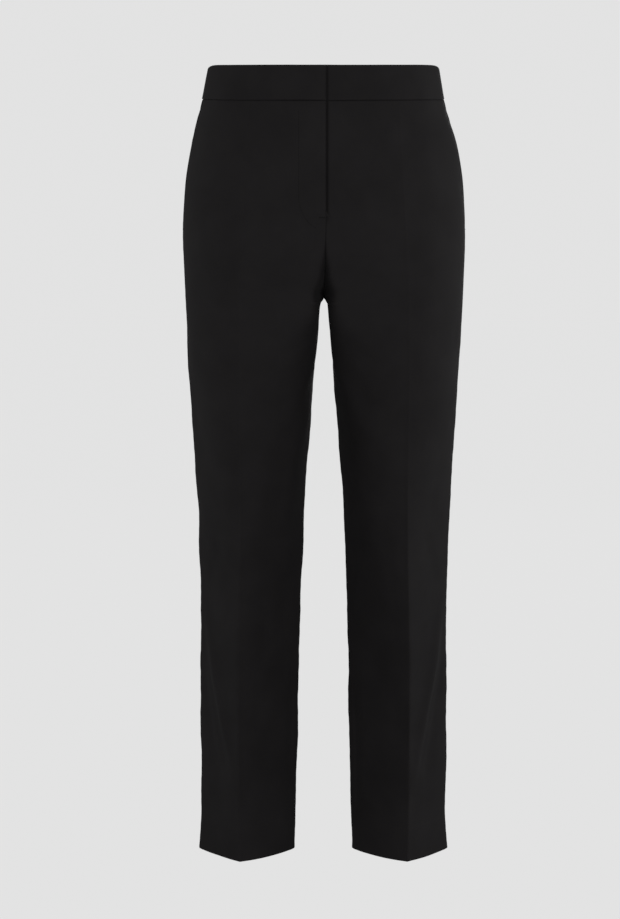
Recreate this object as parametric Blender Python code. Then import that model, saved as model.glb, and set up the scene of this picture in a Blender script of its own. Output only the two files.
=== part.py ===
"""Tailored chino trousers with pressed creases, hollow and upright as they hang when worn.

The frame: +Z is up, +X is the wearer's left, -Y is the front. The origin is the middle of
the waist opening, level with the top edge of the waistband. Lengths below are millimetres,
and "below" always means the distance down from that top edge.

Each leg is a stack of rings. A ring has four landmarks, numbered as its "turn":
0 inner edge, 1 front crease, 2 side seam, 3 back crease, and 4 the inner edge again.
Above the crotch a ring reaches past the middle of the body, and the centre seam cuts it off.
"""

import math
from collections import namedtuple

import bpy
import numpy as np

MM = 0.001

# Driving sizes
LENGTH = 969.0
CROTCH = 277.0
FORK_TOP = 236.0
FORK_ROUND = 3.0
FORK_DEEP = 1.8
WAISTBAND_HEIGHT = 41.0
CLOTH = 1.2
BAND = 2.0
HEM_TURN_UP = 42.0
SEAM_GAP = 0.3
FLY_END = 178.0
POCKET_SLANT = 22.0
POCKET_LENGTH = 160.0
POCKET_UNDERLAY = 26.0
FACING_DEPTH = 2.4
FRONT_SEAM_DRIFT = 2.7
SEAM_DRIFT_WIDTH = 40.0

# Shape of the waistband
BAND_LIFT = 0.8
OVERLAP_LIFT = 0.8
SIDE_DIP = 5.0
SIDE_DIP_WIDTH = 24.0
UNDERLAP_REACH = 38.0
UNDERLAP_SINK = 3.8
UNDERLAP_FLAT = -6.0
OVERLAP_TUCK = 1.2
TUCK_WIDTH = 10.0
BAND_FRONT = (-28, -19, -10, -3, 4, 13, 22, 31, 40, 52, 64, 74)
BAND_BACK = (72, 56, 40, 26, 12)
BAND_SHARES = (0.0, 0.3, 0.65, 1.0)
BAND_STEPS = 16

# The fly. Depths are behind the garment's surface.
LAYER = CLOTH + SEAM_GAP
UNDER_REACH = 8.0
LAP_RELEASE = 10.0
LAP_FLAT = 4.0
EASE_WIDTH = 34.0
ZIP_X = -13.5
ZIP_TOP = 44.0
CHAIN_TOP = 58.0
ZIP_BOTTOM_STOP = 6.0
TAPE = 0.8
TAPE_WIDTH = 24.0
TAPE_DEPTH = 4.2
CHAIN_WIDTH = 4.6
CHAIN_HEIGHT = 1.2
CHAIN_SIDE = 0.6
SLIDER_WIDTH = 8.4
SLIDER_HEIGHT = 10.0
SLIDER_DEPTH = 2.4
SLIDER = 1.5
PULL_WIDTH = 5.2
PULL_HEIGHT = 18.0
PULL = 0.6
SHIELD_TOP = 43.0
SHIELD_END = 184.0
SHIELD_EDGE = 8.0
SHIELD_WIDTH = 40.0
SHIELD_DEPTH = 5.4
SHIELD_CURVE = 0.62
SHIELD_CURVE_RUN = 30.0
SHIELD_ROWS = 12
HOOK_ROWS = (17, 25)
HOOK_OUTSIDE = ((-24, -0.7), (-11, -0.7), (-10.4, -1.1), (-10.4, -2.2), (-11, -2.6), (-17, -2.6))
HOOK_INSIDE = ((-24, -1.1), (-11.4, -1.1), (-11, -1.3), (-11, -2.0), (-11.4, -2.2), (-17, -2.2))
BAR_X = -14.0
BAR_WIDTH = 1.6
BAR = 0.5
BAR_ROWS = (13, 14.6, 16, 26, 27.4, 29)
BAR_FEET = (15, 27)
BAR_RAISED = 1.4
BAR_FOOT = 2.2

# How finely the walls are built
WAIST_SEAM = WAISTBAND_HEIGHT + SEAM_GAP
HEM_TOP = LENGTH - HEM_TURN_UP
HEM_STEP = 2.5
FORK = 48.0
RING_STEPS = 36
CORNER = 9.0
WALL_SHARES = (0.0, 0.35, 0.64, 0.86)
CENTRE_SHARES = (0.0, 0.1, 0.28, 0.52, 0.77)
SIDE_SHARES = (0.0, 0.18, 0.36, 0.54, 0.72, 0.87, 1.0)
SHIELD_COLUMNS = 4
NORMAL_NUDGE = 0.02
NORMAL_STEP = 1.5
FACING_COLUMNS = 9
FACING_RUN_ON = 12.0

Section = namedtuple(
    "Section",
    "below side inner crease lobe front back front_outer front_inner back_outer back_inner",
)

# One row for each ring, top to bottom. side, inner and crease are distances from the middle
# of the body. lobe is how far the foremost and rearmost points have moved from the middle to
# the crease. front and back are depths from the side seam. The last four are how round each
# quarter is: 2 is an ellipse, more is squarer, and 1 is a straight line.
SECTIONS = [
    Section(0, 137.0, -137.0, 86.0, 0.00, 90, 96, 2.20, 2.20, 2.15, 2.15),
    Section(41, 145.5, -145.5, 88.0, 0.00, 95, 102, 2.20, 2.20, 2.15, 2.15),
    Section(90, 158.5, -158.5, 90.0, 0.00, 104, 114, 2.20, 2.20, 2.15, 2.15),
    Section(138, 166.8, -166.8, 92.5, 0.0, 109.0, 123.0, 2.22, 2.22, 2.15, 2.15),
    Section(150, 168.0, -168.0, 93.2, 0.0, 109.8, 124.6, 2.23, 2.23, 2.15, 2.15),
    Section(165, 169.2, -163.0, 94.1, 0.03, 110.5, 126.0, 2.24, 2.24, 2.15, 2.16),
    Section(186, 170.2, -135.0, 95.4, 0.14, 111.0, 127.0, 2.25, 2.45, 2.15, 2.30),
    Section(212, 170.0, -63.0, 96.8, 0.35, 109.8, 126.1, 2.24, 3.70, 2.14, 2.90),
    Section(236, 169.4, -9.0, 98.0, 0.59, 108.0, 124.2, 2.22, 8.00, 2.12, 4.30),
    Section(257, 168.7, -1.3, 99.0, 0.765, 106.1, 121.5, 2.19, 13.50, 2.10, 5.20),
    Section(269, 168.3, -0.15, 99.6, 0.84, 104.7, 119.6, 2.165, 16.00, 2.085, 5.40),
    Section(277, 168.0, 0.0, 99.9, 0.872, 103.9, 118.2, 2.147, 16.00, 2.071, 5.30),
    Section(280, 167.95, 3.2, 100.0, 0.885, 103.6, 117.75, 2.14, 15.40, 2.066, 5.20),
    Section(285, 167.8, 4.5, 100.1, 0.90, 103.0, 116.9, 2.126, 13.80, 2.058, 5.00),
    Section(292, 167.5, 5.3, 100.3, 0.92, 102.3, 115.6, 2.107, 11.20, 2.042, 4.60),
    Section(315, 166.5, 7.2, 100.8, 0.96, 99.7, 111.8, 2.03, 6.40, 1.99, 3.40),
    Section(339, 165.2, 9.9, 101.0, 0.988, 97.2, 108.0, 1.957, 4.10, 1.937, 2.70),
    Section(370, 163.3, 12.3, 101.0, 1.0, 94.0, 103.5, 1.87, 2.80, 1.87, 2.30),
    Section(405, 161.0, 14.3, 100.6, 1.0, 90.6, 98.9, 1.785, 2.16, 1.80, 2.07),
    Section(504, 155.6, 22.0, 100.0, 1.0, 82.2, 88.2, 1.585, 1.74, 1.645, 1.80),
    Section(579, 153.5, 25.4, 100.6, 1.0, 76.4, 82.0, 1.465, 1.58, 1.545, 1.70),
    Section(654, 151.7, 28.5, 102.4, 1.0, 71.2, 77.2, 1.37, 1.48, 1.465, 1.62),
    Section(780, 152.6, 31.0, 104.0, 1.0, 65.0, 71.2, 1.26, 1.38, 1.365, 1.53),
    Section(922, 152.3, 35.0, 103.5, 1.0, 61.0, 67.2, 1.20, 1.34, 1.30, 1.48),
    Section(969, 154.5, 36.3, 102.6, 1.0, 61.0, 66.2, 1.20, 1.34, 1.30, 1.48),
]

Fold = namedtuple("Fold", "turn_from below_from turn_to below_to height spread")

# Soft folds of the hanging cloth: a line on the leg, how far the cloth stands out along it
# (less than 0 is a trough), and half its width. Both legs have them, mirrored.
FOLDS = [
    Fold(1.86, 650, 1.08, 872, 2.4, 10),
    Fold(1.92, 742, 1.40, 905, -1.8, 12),
    Fold(1.30, 560, 1.72, 640, -1.2, 13),
    Fold(0.16, 740, 0.12, 930, -1.6, 8),
    Fold(0.12, 312, 0.72, 452, 1.6, 13),
    Fold(0.30, 290, 0.90, 372, -1.3, 14),
    Fold(1.95, 330, 1.88, 520, 1.4, 15),
    Fold(3.60, 296, 2.95, 356, -2.4, 11),
    Fold(3.72, 330, 3.05, 420, 2.0, 12),
    Fold(3.40, 385, 2.60, 452, -1.5, 14),
    Fold(3.55, 560, 2.70, 612, -2.0, 11),
    Fold(2.35, 548, 3.10, 640, 1.8, 12),
    Fold(2.20, 690, 2.88, 862, 2.2, 11),
    Fold(3.80, 700, 3.25, 850, -1.6, 12),
]

# How strong a fold still is at its ends, and how soon it is at its full height
FOLD_END = 0.06
FOLD_FULLNESS = 0.6

Finish = namedtuple("Finish", "colour roughness metallic")
CLOTH_FINISH = Finish((0.0118, 0.0110, 0.0114, 1.0), 0.85, 0.0)
TAPE_FINISH = Finish((0.0150, 0.0150, 0.0170, 1.0), 0.70, 0.0)
METAL_FINISH = Finish((0.42, 0.42, 0.43, 1.0), 0.35, 1.0)


def table_value(column, below):
    """A column of SECTIONS at any height, on the smooth curve that never overshoots its rows."""
    at = [row.below for row in SECTIONS]
    value = [getattr(row, column) for row in SECTIONS]
    gap = np.diff(at)
    slope = np.diff(value) / gap
    tangent = np.concatenate([[slope[0]], np.zeros(len(slope) - 1), [slope[-1]]])
    for k in range(1, len(slope)):
        if slope[k - 1] * slope[k] > 0:
            one, two = 2 * gap[k] + gap[k - 1], gap[k] + 2 * gap[k - 1]
            tangent[k] = (one + two) / (one / slope[k - 1] + two / slope[k])
    below = min(max(below, at[0]), at[-1])
    k = min(int(np.searchsorted(at, below, side="right")) - 1, len(slope) - 1)
    t = (below - at[k]) / gap[k]
    rise = t * t * (3 - 2 * t)
    return (
        value[k] * (1 - rise)
        + value[k + 1] * rise
        + gap[k] * t * (1 - t) * ((1 - t) * tangent[k] - t * tangent[k + 1])
    )


def eased(share):
    """0 before 0, 1 after 1, and a smooth step between."""
    share = min(max(share, 0.0), 1.0)
    return share * share * (3 - 2 * share)


def quarter(start, end, roundness):
    """Points of a quarter of a ring, from its foremost or rearmost point to its side."""
    angle = np.linspace(0, math.pi / 2, RING_STEPS)
    across = np.sin(angle) ** (2 / roundness)
    along = np.cos(angle) ** (2 / roundness)
    return np.stack(
        [start[0] + (end[0] - start[0]) * across, end[1] + (start[1] - end[1]) * along],
        axis=1,
    )


RINGS = {}


def ring(below):
    """(points, lengths along them, lengths at the five landmarks) of the left leg's ring."""
    key = round(below, 3)
    if key not in RINGS:
        s = Section(below, *(table_value(c, below) for c in Section._fields[1:]))
        foremost = (s.crease * s.lobe, -s.front)
        rearmost = (s.crease * s.lobe, s.back)
        side, inner = (s.side, 0.0), (s.inner, 0.0)
        front = np.concatenate(
            [
                quarter(foremost, inner, s.front_inner)[::-1],
                quarter(foremost, side, s.front_outer)[1:],
            ]
        )
        back = np.concatenate(
            [
                quarter(rearmost, side, s.back_outer)[::-1],
                quarter(rearmost, inner, s.back_inner)[1:],
            ]
        )
        points = np.concatenate([front, back[1:]])
        length = np.concatenate(
            [[0.0], np.cumsum(np.linalg.norm(np.diff(points, axis=0), axis=1))]
        )
        n = len(front)
        marks = [
            0.0,
            np.interp(s.crease, front[:, 0], length[:n]),
            length[n - 1],
            np.interp(-s.crease, -back[:, 0], length[n - 1 :]),
            length[-1],
        ]
        RINGS[key] = (points, length, np.array(marks))
    return RINGS[key]


def on_ring(turn, below):
    """(x, y) of a turn on the left leg."""
    points, length, marks = ring(below)
    at = np.interp(turn, range(5), marks)
    return np.array([np.interp(at, length, points[:, k]) for k in (0, 1)])


def turn_at(x, below, back=False):
    """The turn at which the front, or the back, of a ring is x from the middle."""
    points, length, marks = ring(below)
    n = len(points) // 2 + 1
    if back:
        at = np.interp(-x, -points[n - 1 :, 0], length[n - 1 :])
    else:
        at = np.interp(x, points[:n, 0], length[:n])
    return float(np.interp(at, marks, range(5)))


def fork_turn(below, back=False):
    """Where the centre seam lies as it curves in under the body, down to the crotch."""
    cut = turn_at(SEAM_GAP / 2, below, back)
    share = (below - FORK_TOP) / (CROTCH - FORK_TOP)
    deep = abs(on_ring(cut, below)[1]) * (1 - share**FORK_ROUND) ** (1 / FORK_DEEP)
    points, length, marks = ring(below)
    n = len(points) // 4 + 1
    inner = slice(-n, None) if back else slice(0, n)
    depths, lengths = np.abs(points[inner, 1]), length[inner]
    at = np.interp(-deep, -depths, lengths) if back else np.interp(deep, depths, lengths)
    return float(np.interp(at, marks, range(5)))


def turn_moved(turn, distance, below):
    """The turn that lies this distance further along the ring."""
    marks = ring(below)[2]
    return float(np.interp(np.interp(turn, range(5), marks) + distance, marks, range(5)))


def fold_height(turn, below):
    """How far the folds move the cloth out at this place."""
    marks = ring(below)[2]
    here = np.interp(turn, range(5), marks)
    height = 0.0
    for fold in FOLDS:
        start, end = np.interp([fold.turn_from, fold.turn_to], range(5), marks)
        run = np.array([end - start, fold.below_to - fold.below_from])
        nearest = None
        for lap in (-1, 0, 1):
            place = np.array([here + lap * marks[4] - start, below - fold.below_from])
            share = min(max(float(place @ run / (run @ run)), 0.0), 1.0)
            away = np.linalg.norm(place - share * run)
            if nearest is None or away < nearest[0]:
                nearest = (away, share)
        away, share = nearest
        strength = math.sin(math.pi * (FOLD_END + (1 - 2 * FOLD_END) * share)) ** FOLD_FULLNESS
        height += fold.height * strength * math.exp(-((away / fold.spread) ** 2))
    return height


def outward(turn, below):
    """The left leg's outward direction. Across a seam both panels get the same one."""
    nudge, step = NORMAL_NUDGE, NORMAL_STEP
    along = on_ring(min(turn + nudge, 4), below) - on_ring(max(turn - nudge, 0), below)
    if turn < nudge or turn > 4 - nudge:
        along = on_ring(nudge, below) - on_ring(4 - nudge, below)
    up = on_ring(turn, below - step) - on_ring(turn, below + step)
    normal = np.cross([*along, 0.0], [*up, 2 * step])
    return normal / np.linalg.norm(normal)


def cloth_point(side, turn, below, lift=0.0):
    """A point of the garment, moved out by lift. side is 1 on the wearer's left, -1 right."""
    x, y = on_ring(turn, below)
    least = SEAM_GAP / 2 if below > FORK_TOP else -math.inf
    point = np.array([max(x, least), y, -below])
    point += (lift + fold_height(turn, below)) * outward(turn, below)
    point[0] = side * max(point[0], least)
    middle = math.exp(-((x / SEAM_DRIFT_WIDTH) ** 2)) if y < 0 else 0.0
    drift = FRONT_SEAM_DRIFT * (1 - eased((below - FLY_END) / (CROTCH - FLY_END)))
    point[0] += drift * middle
    return point


def spaced(first, last, step):
    """Heights from first to just before last, about step apart."""
    count = max(1, round((last - first) / step))
    return [first + (last - first) * k / count for k in range(count)]


def panel_rows():
    """The heights of a leg panel's rows, closest together at the crotch."""
    rows = spaced(WAIST_SEAM, FLY_END - LAP_RELEASE, 16)
    rows += spaced(FLY_END - LAP_RELEASE, CROTCH - FORK, 10)
    rows += [CROTCH - FORK * (1 - k / 8) ** 2 for k in range(8)]
    rows += [CROTCH + FORK * (k / 6) ** 2 for k in range(6)]
    rows += spaced(CROTCH + FORK, HEM_TOP, 26)
    return rows + [HEM_TOP, HEM_TOP + HEM_STEP, LENGTH - HEM_TURN_UP / 2, LENGTH]


def centre_turn(below, reach=0.0):
    """Where a front's inner edge lies: at the centre seam, less reach, or at the inseam."""
    edge = SEAM_GAP / 2
    if below >= CROTCH:
        return turn_moved(0, edge, below)
    return fork_turn(below) if below > FORK_TOP else turn_at(edge - reach, below)


def back_centre_turn(below):
    """Where a back's inner edge lies: at the centre back seam or at the inseam."""
    edge = SEAM_GAP / 2
    if below >= CROTCH:
        return turn_moved(4, -edge, below)
    return fork_turn(below, back=True) if below > FORK_TOP else turn_at(edge, below, back=True)


def under_reach(below):
    """How far the left front runs on under the right one."""
    return UNDER_REACH * (1 - eased((below - FLY_END + LAP_RELEASE) / LAP_RELEASE))


def left_front_sink(turn, below):
    """How far the left front drops behind the right one, which laps over it."""
    across = 1 - eased((on_ring(turn, below)[0] - LAP_FLAT) / EASE_WIDTH)
    down = 1 - eased((below - FLY_END) / (2 * LAP_RELEASE))
    return LAYER * across * down


def pocket_slant(below):
    """How far in front of the side seam the pocket mouth lies."""
    share = (below - WAIST_SEAM) / POCKET_LENGTH
    return POCKET_SLANT * max(0.0, 1 - share)


def inner_half(first, crease, below, back=False):
    """The columns from an inner edge to just before the crease. Between the legs the cloth turns
    a corner, and the columns on each side of it stay there."""
    innermost = max(table_value("inner", below), SEAM_GAP / 2)
    corner = turn_at(innermost + CORNER, below, back)
    wall_part = [first + (corner - first) * share for share in WALL_SHARES]
    return wall_part + [corner + (crease - corner) * share for share in CENTRE_SHARES]


def front_turns(below, reach=0.0):
    """The columns of a front, from its inner edge to the side seam or the pocket mouth."""
    first = centre_turn(below, reach)
    last = turn_moved(2, -max(SEAM_GAP / 2, pocket_slant(below)), below)
    return inner_half(first, 1, below) + [1 + (last - 1) * share for share in SIDE_SHARES]


def left_front_turns(below):
    """The left front's columns. Above the end of the fly it runs on under the right one."""
    return front_turns(below, under_reach(below))


def back_turns(below):
    """The columns of a back, from the side seam to its inner edge."""
    first = turn_moved(2, SEAM_GAP / 2, below)
    last = back_centre_turn(below)
    outer_half = [3 + (first - 3) * share for share in SIDE_SHARES[::-1]]
    return outer_half + inner_half(last, 3, below, back=True)[::-1]


def no_sink(_turn, _below):
    """A panel that keeps to the garment's surface."""
    return 0.0


def facing_turns(below):
    """The columns of a pocket facing, from under the front panel to the side seam."""
    first = turn_moved(2, -pocket_slant(below) - POCKET_UNDERLAY, below)
    last = turn_moved(2, -SEAM_GAP / 2, below)
    return np.linspace(first, last, FACING_COLUMNS)


def band_lift(side, x):
    """How far the waistband's outside stands off the garment, x from the middle in front."""
    if side < 0:
        tuck = OVERLAP_TUCK * (1 - eased(x / TUCK_WIDTH))
        return BAND_LIFT + OVERLAP_LIFT * (1 - eased((x - UNDERLAP_REACH) / EASE_WIDTH)) - tuck
    return BAND_LIFT - UNDERLAP_SINK * (1 - eased((x - UNDERLAP_FLAT) / EASE_WIDTH))


def band_place(side, column, share):
    """(turn, below, lift) on the waistband, share of the way down from its top edge."""
    x_or_turn, region = column
    if region == "turn":
        turn, lift = x_or_turn, BAND_LIFT
    else:
        turn = turn_at(x_or_turn, WAISTBAND_HEIGHT / 2, back=region == "back")
        lift = band_lift(side, x_or_turn) if region == "front" else BAND_LIFT
    depth = on_ring(turn, 0)[1]
    top = SIDE_DIP * math.exp(-((depth / SIDE_DIP_WIDTH) ** 2))
    below = top + (WAISTBAND_HEIGHT - top) * share
    if region != "turn":
        turn = turn_at(x_or_turn, below, back=region == "back")
    return turn, below, lift


def front_point(x, below, lift):
    """A point at the fly, x to the wearer's left of the middle."""
    return cloth_point(math.copysign(1, x), turn_at(abs(x), below), below, lift)


def wall(name, outer, inner, finish):
    """A closed sheet between two grids of points, each a list of rows."""
    rows, columns = len(outer), len(outer[0])
    points = [p * MM for grid in (outer, inner) for row in grid for p in row]

    def at(layer, i, j):
        return (layer * rows + i) * columns + j

    faces = []
    for i in range(rows - 1):
        for j in range(columns - 1):
            faces.append([at(0, i, j), at(0, i + 1, j), at(0, i + 1, j + 1), at(0, i, j + 1)])
            faces.append([at(1, i, j), at(1, i, j + 1), at(1, i + 1, j + 1), at(1, i + 1, j)])
    for i in range(rows - 1):
        for j, winding in ((0, 1), (columns - 1, -1)):
            rim = [at(0, i, j), at(1, i, j), at(1, i + 1, j), at(0, i + 1, j)]
            faces.append(rim[::winding])
    for j in range(columns - 1):
        for i, winding in ((0, -1), (rows - 1, 1)):
            rim = [at(0, i, j), at(1, i, j), at(1, i, j + 1), at(0, i, j + 1)]
            faces.append(rim[::winding])
    volume = 0.0
    for a, b, c, d in faces:
        volume += points[a] @ (np.cross(points[b], points[c]) + np.cross(points[c], points[d]))
    if volume < 0:
        faces = [face[::-1] for face in faces]

    material = bpy.data.materials.new(name)
    material.use_nodes = True
    surface = material.node_tree.nodes["Principled BSDF"]
    surface.inputs["Base Color"].default_value = finish.colour
    surface.inputs["Roughness"].default_value = finish.roughness
    surface.inputs["Metallic"].default_value = finish.metallic
    mesh = bpy.data.meshes.new(name)
    mesh.from_pydata([tuple(p) for p in points], [], faces)
    mesh.materials.append(material)
    mesh.shade_smooth()
    mesh.set_sharp_from_angle(angle=math.radians(50))
    piece = bpy.data.objects.new(name, mesh)
    bpy.context.scene.collection.objects.link(piece)


def leg_panel(name, side, turns_of, sink_of):
    """A front or a back. The hem is turned up inside it, so it is two layers thick there."""
    outer, inner = [], []
    for below in panel_rows():
        thickness = 2 * CLOTH if below > HEM_TOP else CLOTH
        places = [(turn, sink_of(turn, below)) for turn in turns_of(below)]
        outer.append([cloth_point(side, t, below, -sink) for t, sink in places])
        inner.append([cloth_point(side, t, below, -sink - thickness) for t, sink in places])
    wall(name, outer, inner, CLOTH_FINISH)


def pocket_facing(name, side):
    """The strip behind a pocket mouth, sewn in at the side seam."""
    rows = [below for below in panel_rows() if below < WAIST_SEAM + POCKET_LENGTH + FACING_RUN_ON]
    grids = [
        [[cloth_point(side, t, b, -depth) for t in facing_turns(b)] for b in rows]
        for depth in (FACING_DEPTH, FACING_DEPTH + CLOTH)
    ]
    wall(name, *grids, CLOTH_FINISH)


def waistband(name, side):
    """Half of the waistband, from its front end round to the centre back seam."""
    edge = SEAM_GAP / 2
    front_end = edge if side < 0 else edge - UNDERLAP_REACH
    columns = [(x, "front") for x in BAND_FRONT if x > front_end + 1]
    columns = [(front_end, "front"), *columns]
    columns += [(1 + 2 * k / BAND_STEPS, "turn") for k in range(BAND_STEPS + 1)]
    columns += [(x, "back") for x in (*BAND_BACK, edge)]
    grids = []
    for depth in (0.0, BAND):
        rows = []
        for share in BAND_SHARES:
            places = [band_place(side, column, share) for column in columns]
            rows.append([cloth_point(side, t, b, lift - depth) for t, b, lift in places])
        grids.append(rows)
    wall(name, *grids, CLOTH_FINISH)


def fly_patch(name, rows, face, back, finish):
    """A piece at the fly. rows holds (below, list of x), and face and back give the lifts."""
    wall(
        name,
        [[front_point(x, below, face(x, below)) for x in xs] for below, xs in rows],
        [[front_point(x, below, back(x, below)) for x in xs] for below, xs in rows],
        finish,
    )


def fly_shield():
    """The flap behind the zip, with its lower end curved in to the fly."""
    rows = []
    for k in range(SHIELD_ROWS + 1):
        below = SHIELD_TOP + (SHIELD_END - SHIELD_TOP) * k / SHIELD_ROWS
        narrow = 1 - SHIELD_CURVE * eased((below - SHIELD_END + SHIELD_CURVE_RUN) / SHIELD_CURVE_RUN)
        width = SHIELD_WIDTH * narrow
        xs = [SHIELD_EDGE - width * s / SHIELD_COLUMNS for s in range(SHIELD_COLUMNS + 1)]
        rows.append((below, xs))
    fly_patch(
        "fly_shield", rows, lambda x, b: -SHIELD_DEPTH, lambda x, b: -SHIELD_DEPTH - CLOTH, CLOTH_FINISH
    )


def zip_tape():
    """The two tapes with the closed chain standing up between them."""
    chain = CHAIN_WIDTH / 2
    offsets = [-TAPE_WIDTH / 2, -chain - CHAIN_SIDE, -chain, chain, chain + CHAIN_SIDE, TAPE_WIDTH / 2]
    belows = [ZIP_TOP, CHAIN_TOP - CHAIN_SIDE, CHAIN_TOP]
    belows += [CHAIN_TOP + (FLY_END - ZIP_BOTTOM_STOP - CHAIN_TOP) * k / 6 for k in range(1, 7)]

    def face(x, below):
        on_chain = abs(x - ZIP_X) < chain + CHAIN_SIDE / 2 and below >= CHAIN_TOP
        return -TAPE_DEPTH + (CHAIN_HEIGHT if on_chain else 0.0)

    rows = [(below, [ZIP_X + offset for offset in offsets]) for below in belows]
    fly_patch("zip_tape", rows, face, lambda x, b: -TAPE_DEPTH - TAPE, TAPE_FINISH)


def rounded_rows(top, height, width):
    """Rows of a plate with its corners cut, centred on the zip."""
    rows = []
    for share, narrow in ((0, 0.72), (0.12, 1), (0.5, 1), (0.88, 1), (1, 0.72)):
        half = width * narrow / 2
        rows.append((top + height * share, [ZIP_X - half, ZIP_X, ZIP_X + half]))
    return rows


def zip_slider_and_pull():
    """The slider above the chain, and the tab that hangs in front of it."""
    slider = rounded_rows(CHAIN_TOP - SLIDER_HEIGHT - 1, SLIDER_HEIGHT, SLIDER_WIDTH)
    front, back = SLIDER_DEPTH, SLIDER_DEPTH + SLIDER
    fly_patch("zip_slider", slider, lambda x, b: -front, lambda x, b: -back, METAL_FINISH)
    pull = rounded_rows(CHAIN_TOP - SLIDER_HEIGHT + 2, PULL_HEIGHT, PULL_WIDTH)
    near, far = LAYER, LAYER + PULL
    fly_patch("zip_pull", pull, lambda x, b: -near, lambda x, b: -far, METAL_FINISH)


def waist_hook():
    """A flat hook on the right band. It bends back round the bar, towards the wearer's right."""
    grids = [
        [[front_point(x, below, lift) for x, lift in path] for below in HOOK_ROWS]
        for path in (HOOK_OUTSIDE, HOOK_INSIDE)
    ]
    wall("waist_hook", *grids, METAL_FINISH)


def waist_bar():
    """The bar on the left band, raised between its two feet."""
    half = BAR_WIDTH / 2
    rows = [(below, [BAR_X - half, BAR_X + half]) for below in BAR_ROWS]

    def face(_x, below):
        return -BAR_RAISED if BAR_FEET[0] < below < BAR_FEET[1] else -BAR_FOOT

    fly_patch("waist_bar", rows, face, lambda x, b: face(x, b) - BAR, METAL_FINISH)


for old in list(bpy.data.objects):
    bpy.data.objects.remove(old, do_unlink=True)

leg_panel("front_right", -1, front_turns, no_sink)
leg_panel("front_left", 1, left_front_turns, left_front_sink)
for side_name, side_sign in (("right", -1), ("left", 1)):
    leg_panel("back_" + side_name, side_sign, back_turns, no_sink)
    pocket_facing("pocket_facing_" + side_name, side_sign)
    waistband("waistband_" + side_name, side_sign)
fly_shield()
zip_tape()
zip_slider_and_pull()
waist_hook()
waist_bar()
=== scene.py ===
"""The looks of the black tailored trousers: cloth, creases, folds, seams, sewing and zip.

Every piece follows the form that part.py gives its solid. Lengths are millimetres, "below" is
the distance down from the top of the waistband, and "turn" is the place round a leg:
0 inner edge, 1 front crease, 2 side seam, 3 back crease, and 4 the inner edge again.
"""

import math
from collections import namedtuple

import bmesh
import bpy
import numpy as np
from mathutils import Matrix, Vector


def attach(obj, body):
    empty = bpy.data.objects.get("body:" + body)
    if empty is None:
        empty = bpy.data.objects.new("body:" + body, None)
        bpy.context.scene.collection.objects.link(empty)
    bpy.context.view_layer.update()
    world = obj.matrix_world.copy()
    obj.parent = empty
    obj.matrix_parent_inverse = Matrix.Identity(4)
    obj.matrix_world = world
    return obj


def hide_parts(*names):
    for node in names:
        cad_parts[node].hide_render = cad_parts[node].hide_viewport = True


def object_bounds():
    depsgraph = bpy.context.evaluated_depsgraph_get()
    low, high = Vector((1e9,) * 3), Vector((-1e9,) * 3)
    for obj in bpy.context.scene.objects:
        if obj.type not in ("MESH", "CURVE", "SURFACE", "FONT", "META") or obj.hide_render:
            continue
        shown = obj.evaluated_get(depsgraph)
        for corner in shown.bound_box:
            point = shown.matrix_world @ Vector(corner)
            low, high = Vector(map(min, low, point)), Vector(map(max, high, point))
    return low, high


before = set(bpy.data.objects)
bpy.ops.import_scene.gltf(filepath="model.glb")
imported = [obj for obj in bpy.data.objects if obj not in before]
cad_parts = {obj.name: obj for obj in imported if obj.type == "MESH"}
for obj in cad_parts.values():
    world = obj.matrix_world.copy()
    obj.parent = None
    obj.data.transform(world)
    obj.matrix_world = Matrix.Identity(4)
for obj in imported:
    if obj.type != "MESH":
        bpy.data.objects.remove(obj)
cad_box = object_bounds()

# ---------------------------------------------------------------------------------------------
# Front legs. Each is one piece of black worsted suiting, cut on the straight grain and pressed
# with a crease. The wearer's right one laps over the left one at the fly. The hem is turned up
# 42 mm inside and caught down with blind stitches.
# ---------------------------------------------------------------------------------------------

MM = 0.001
LENGTH = 969.0
CROTCH = 277.0
BAND_HEIGHT = 41.0
FLY_END = 178.0
HEM_TURN_UP = 42.0
CLOTH = 0.8

# The centre front line drifts to the wearer's left by this much, and the cloth near it follows.
SEAM_DRIFT, SEAM_DRIFT_WIDTH = 1.8, 40.0

# How far from a centre seam, and from the wall between the thighs, the middle plane holds cloth.
SEAM_HOLD, WALL_HOLD = 4.0, 1.2

# The centre seam runs in under the body from FORK_TOP down to the crotch, on a curve whose
# roundness the other two give.
FORK_TOP, FORK_ROUND, FORK_DEEP = 236.0, 3.0, 1.8

Section = namedtuple(
    "Section",
    "below side inner crease lobe front back front_outer front_inner back_outer back_inner",
)

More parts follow.
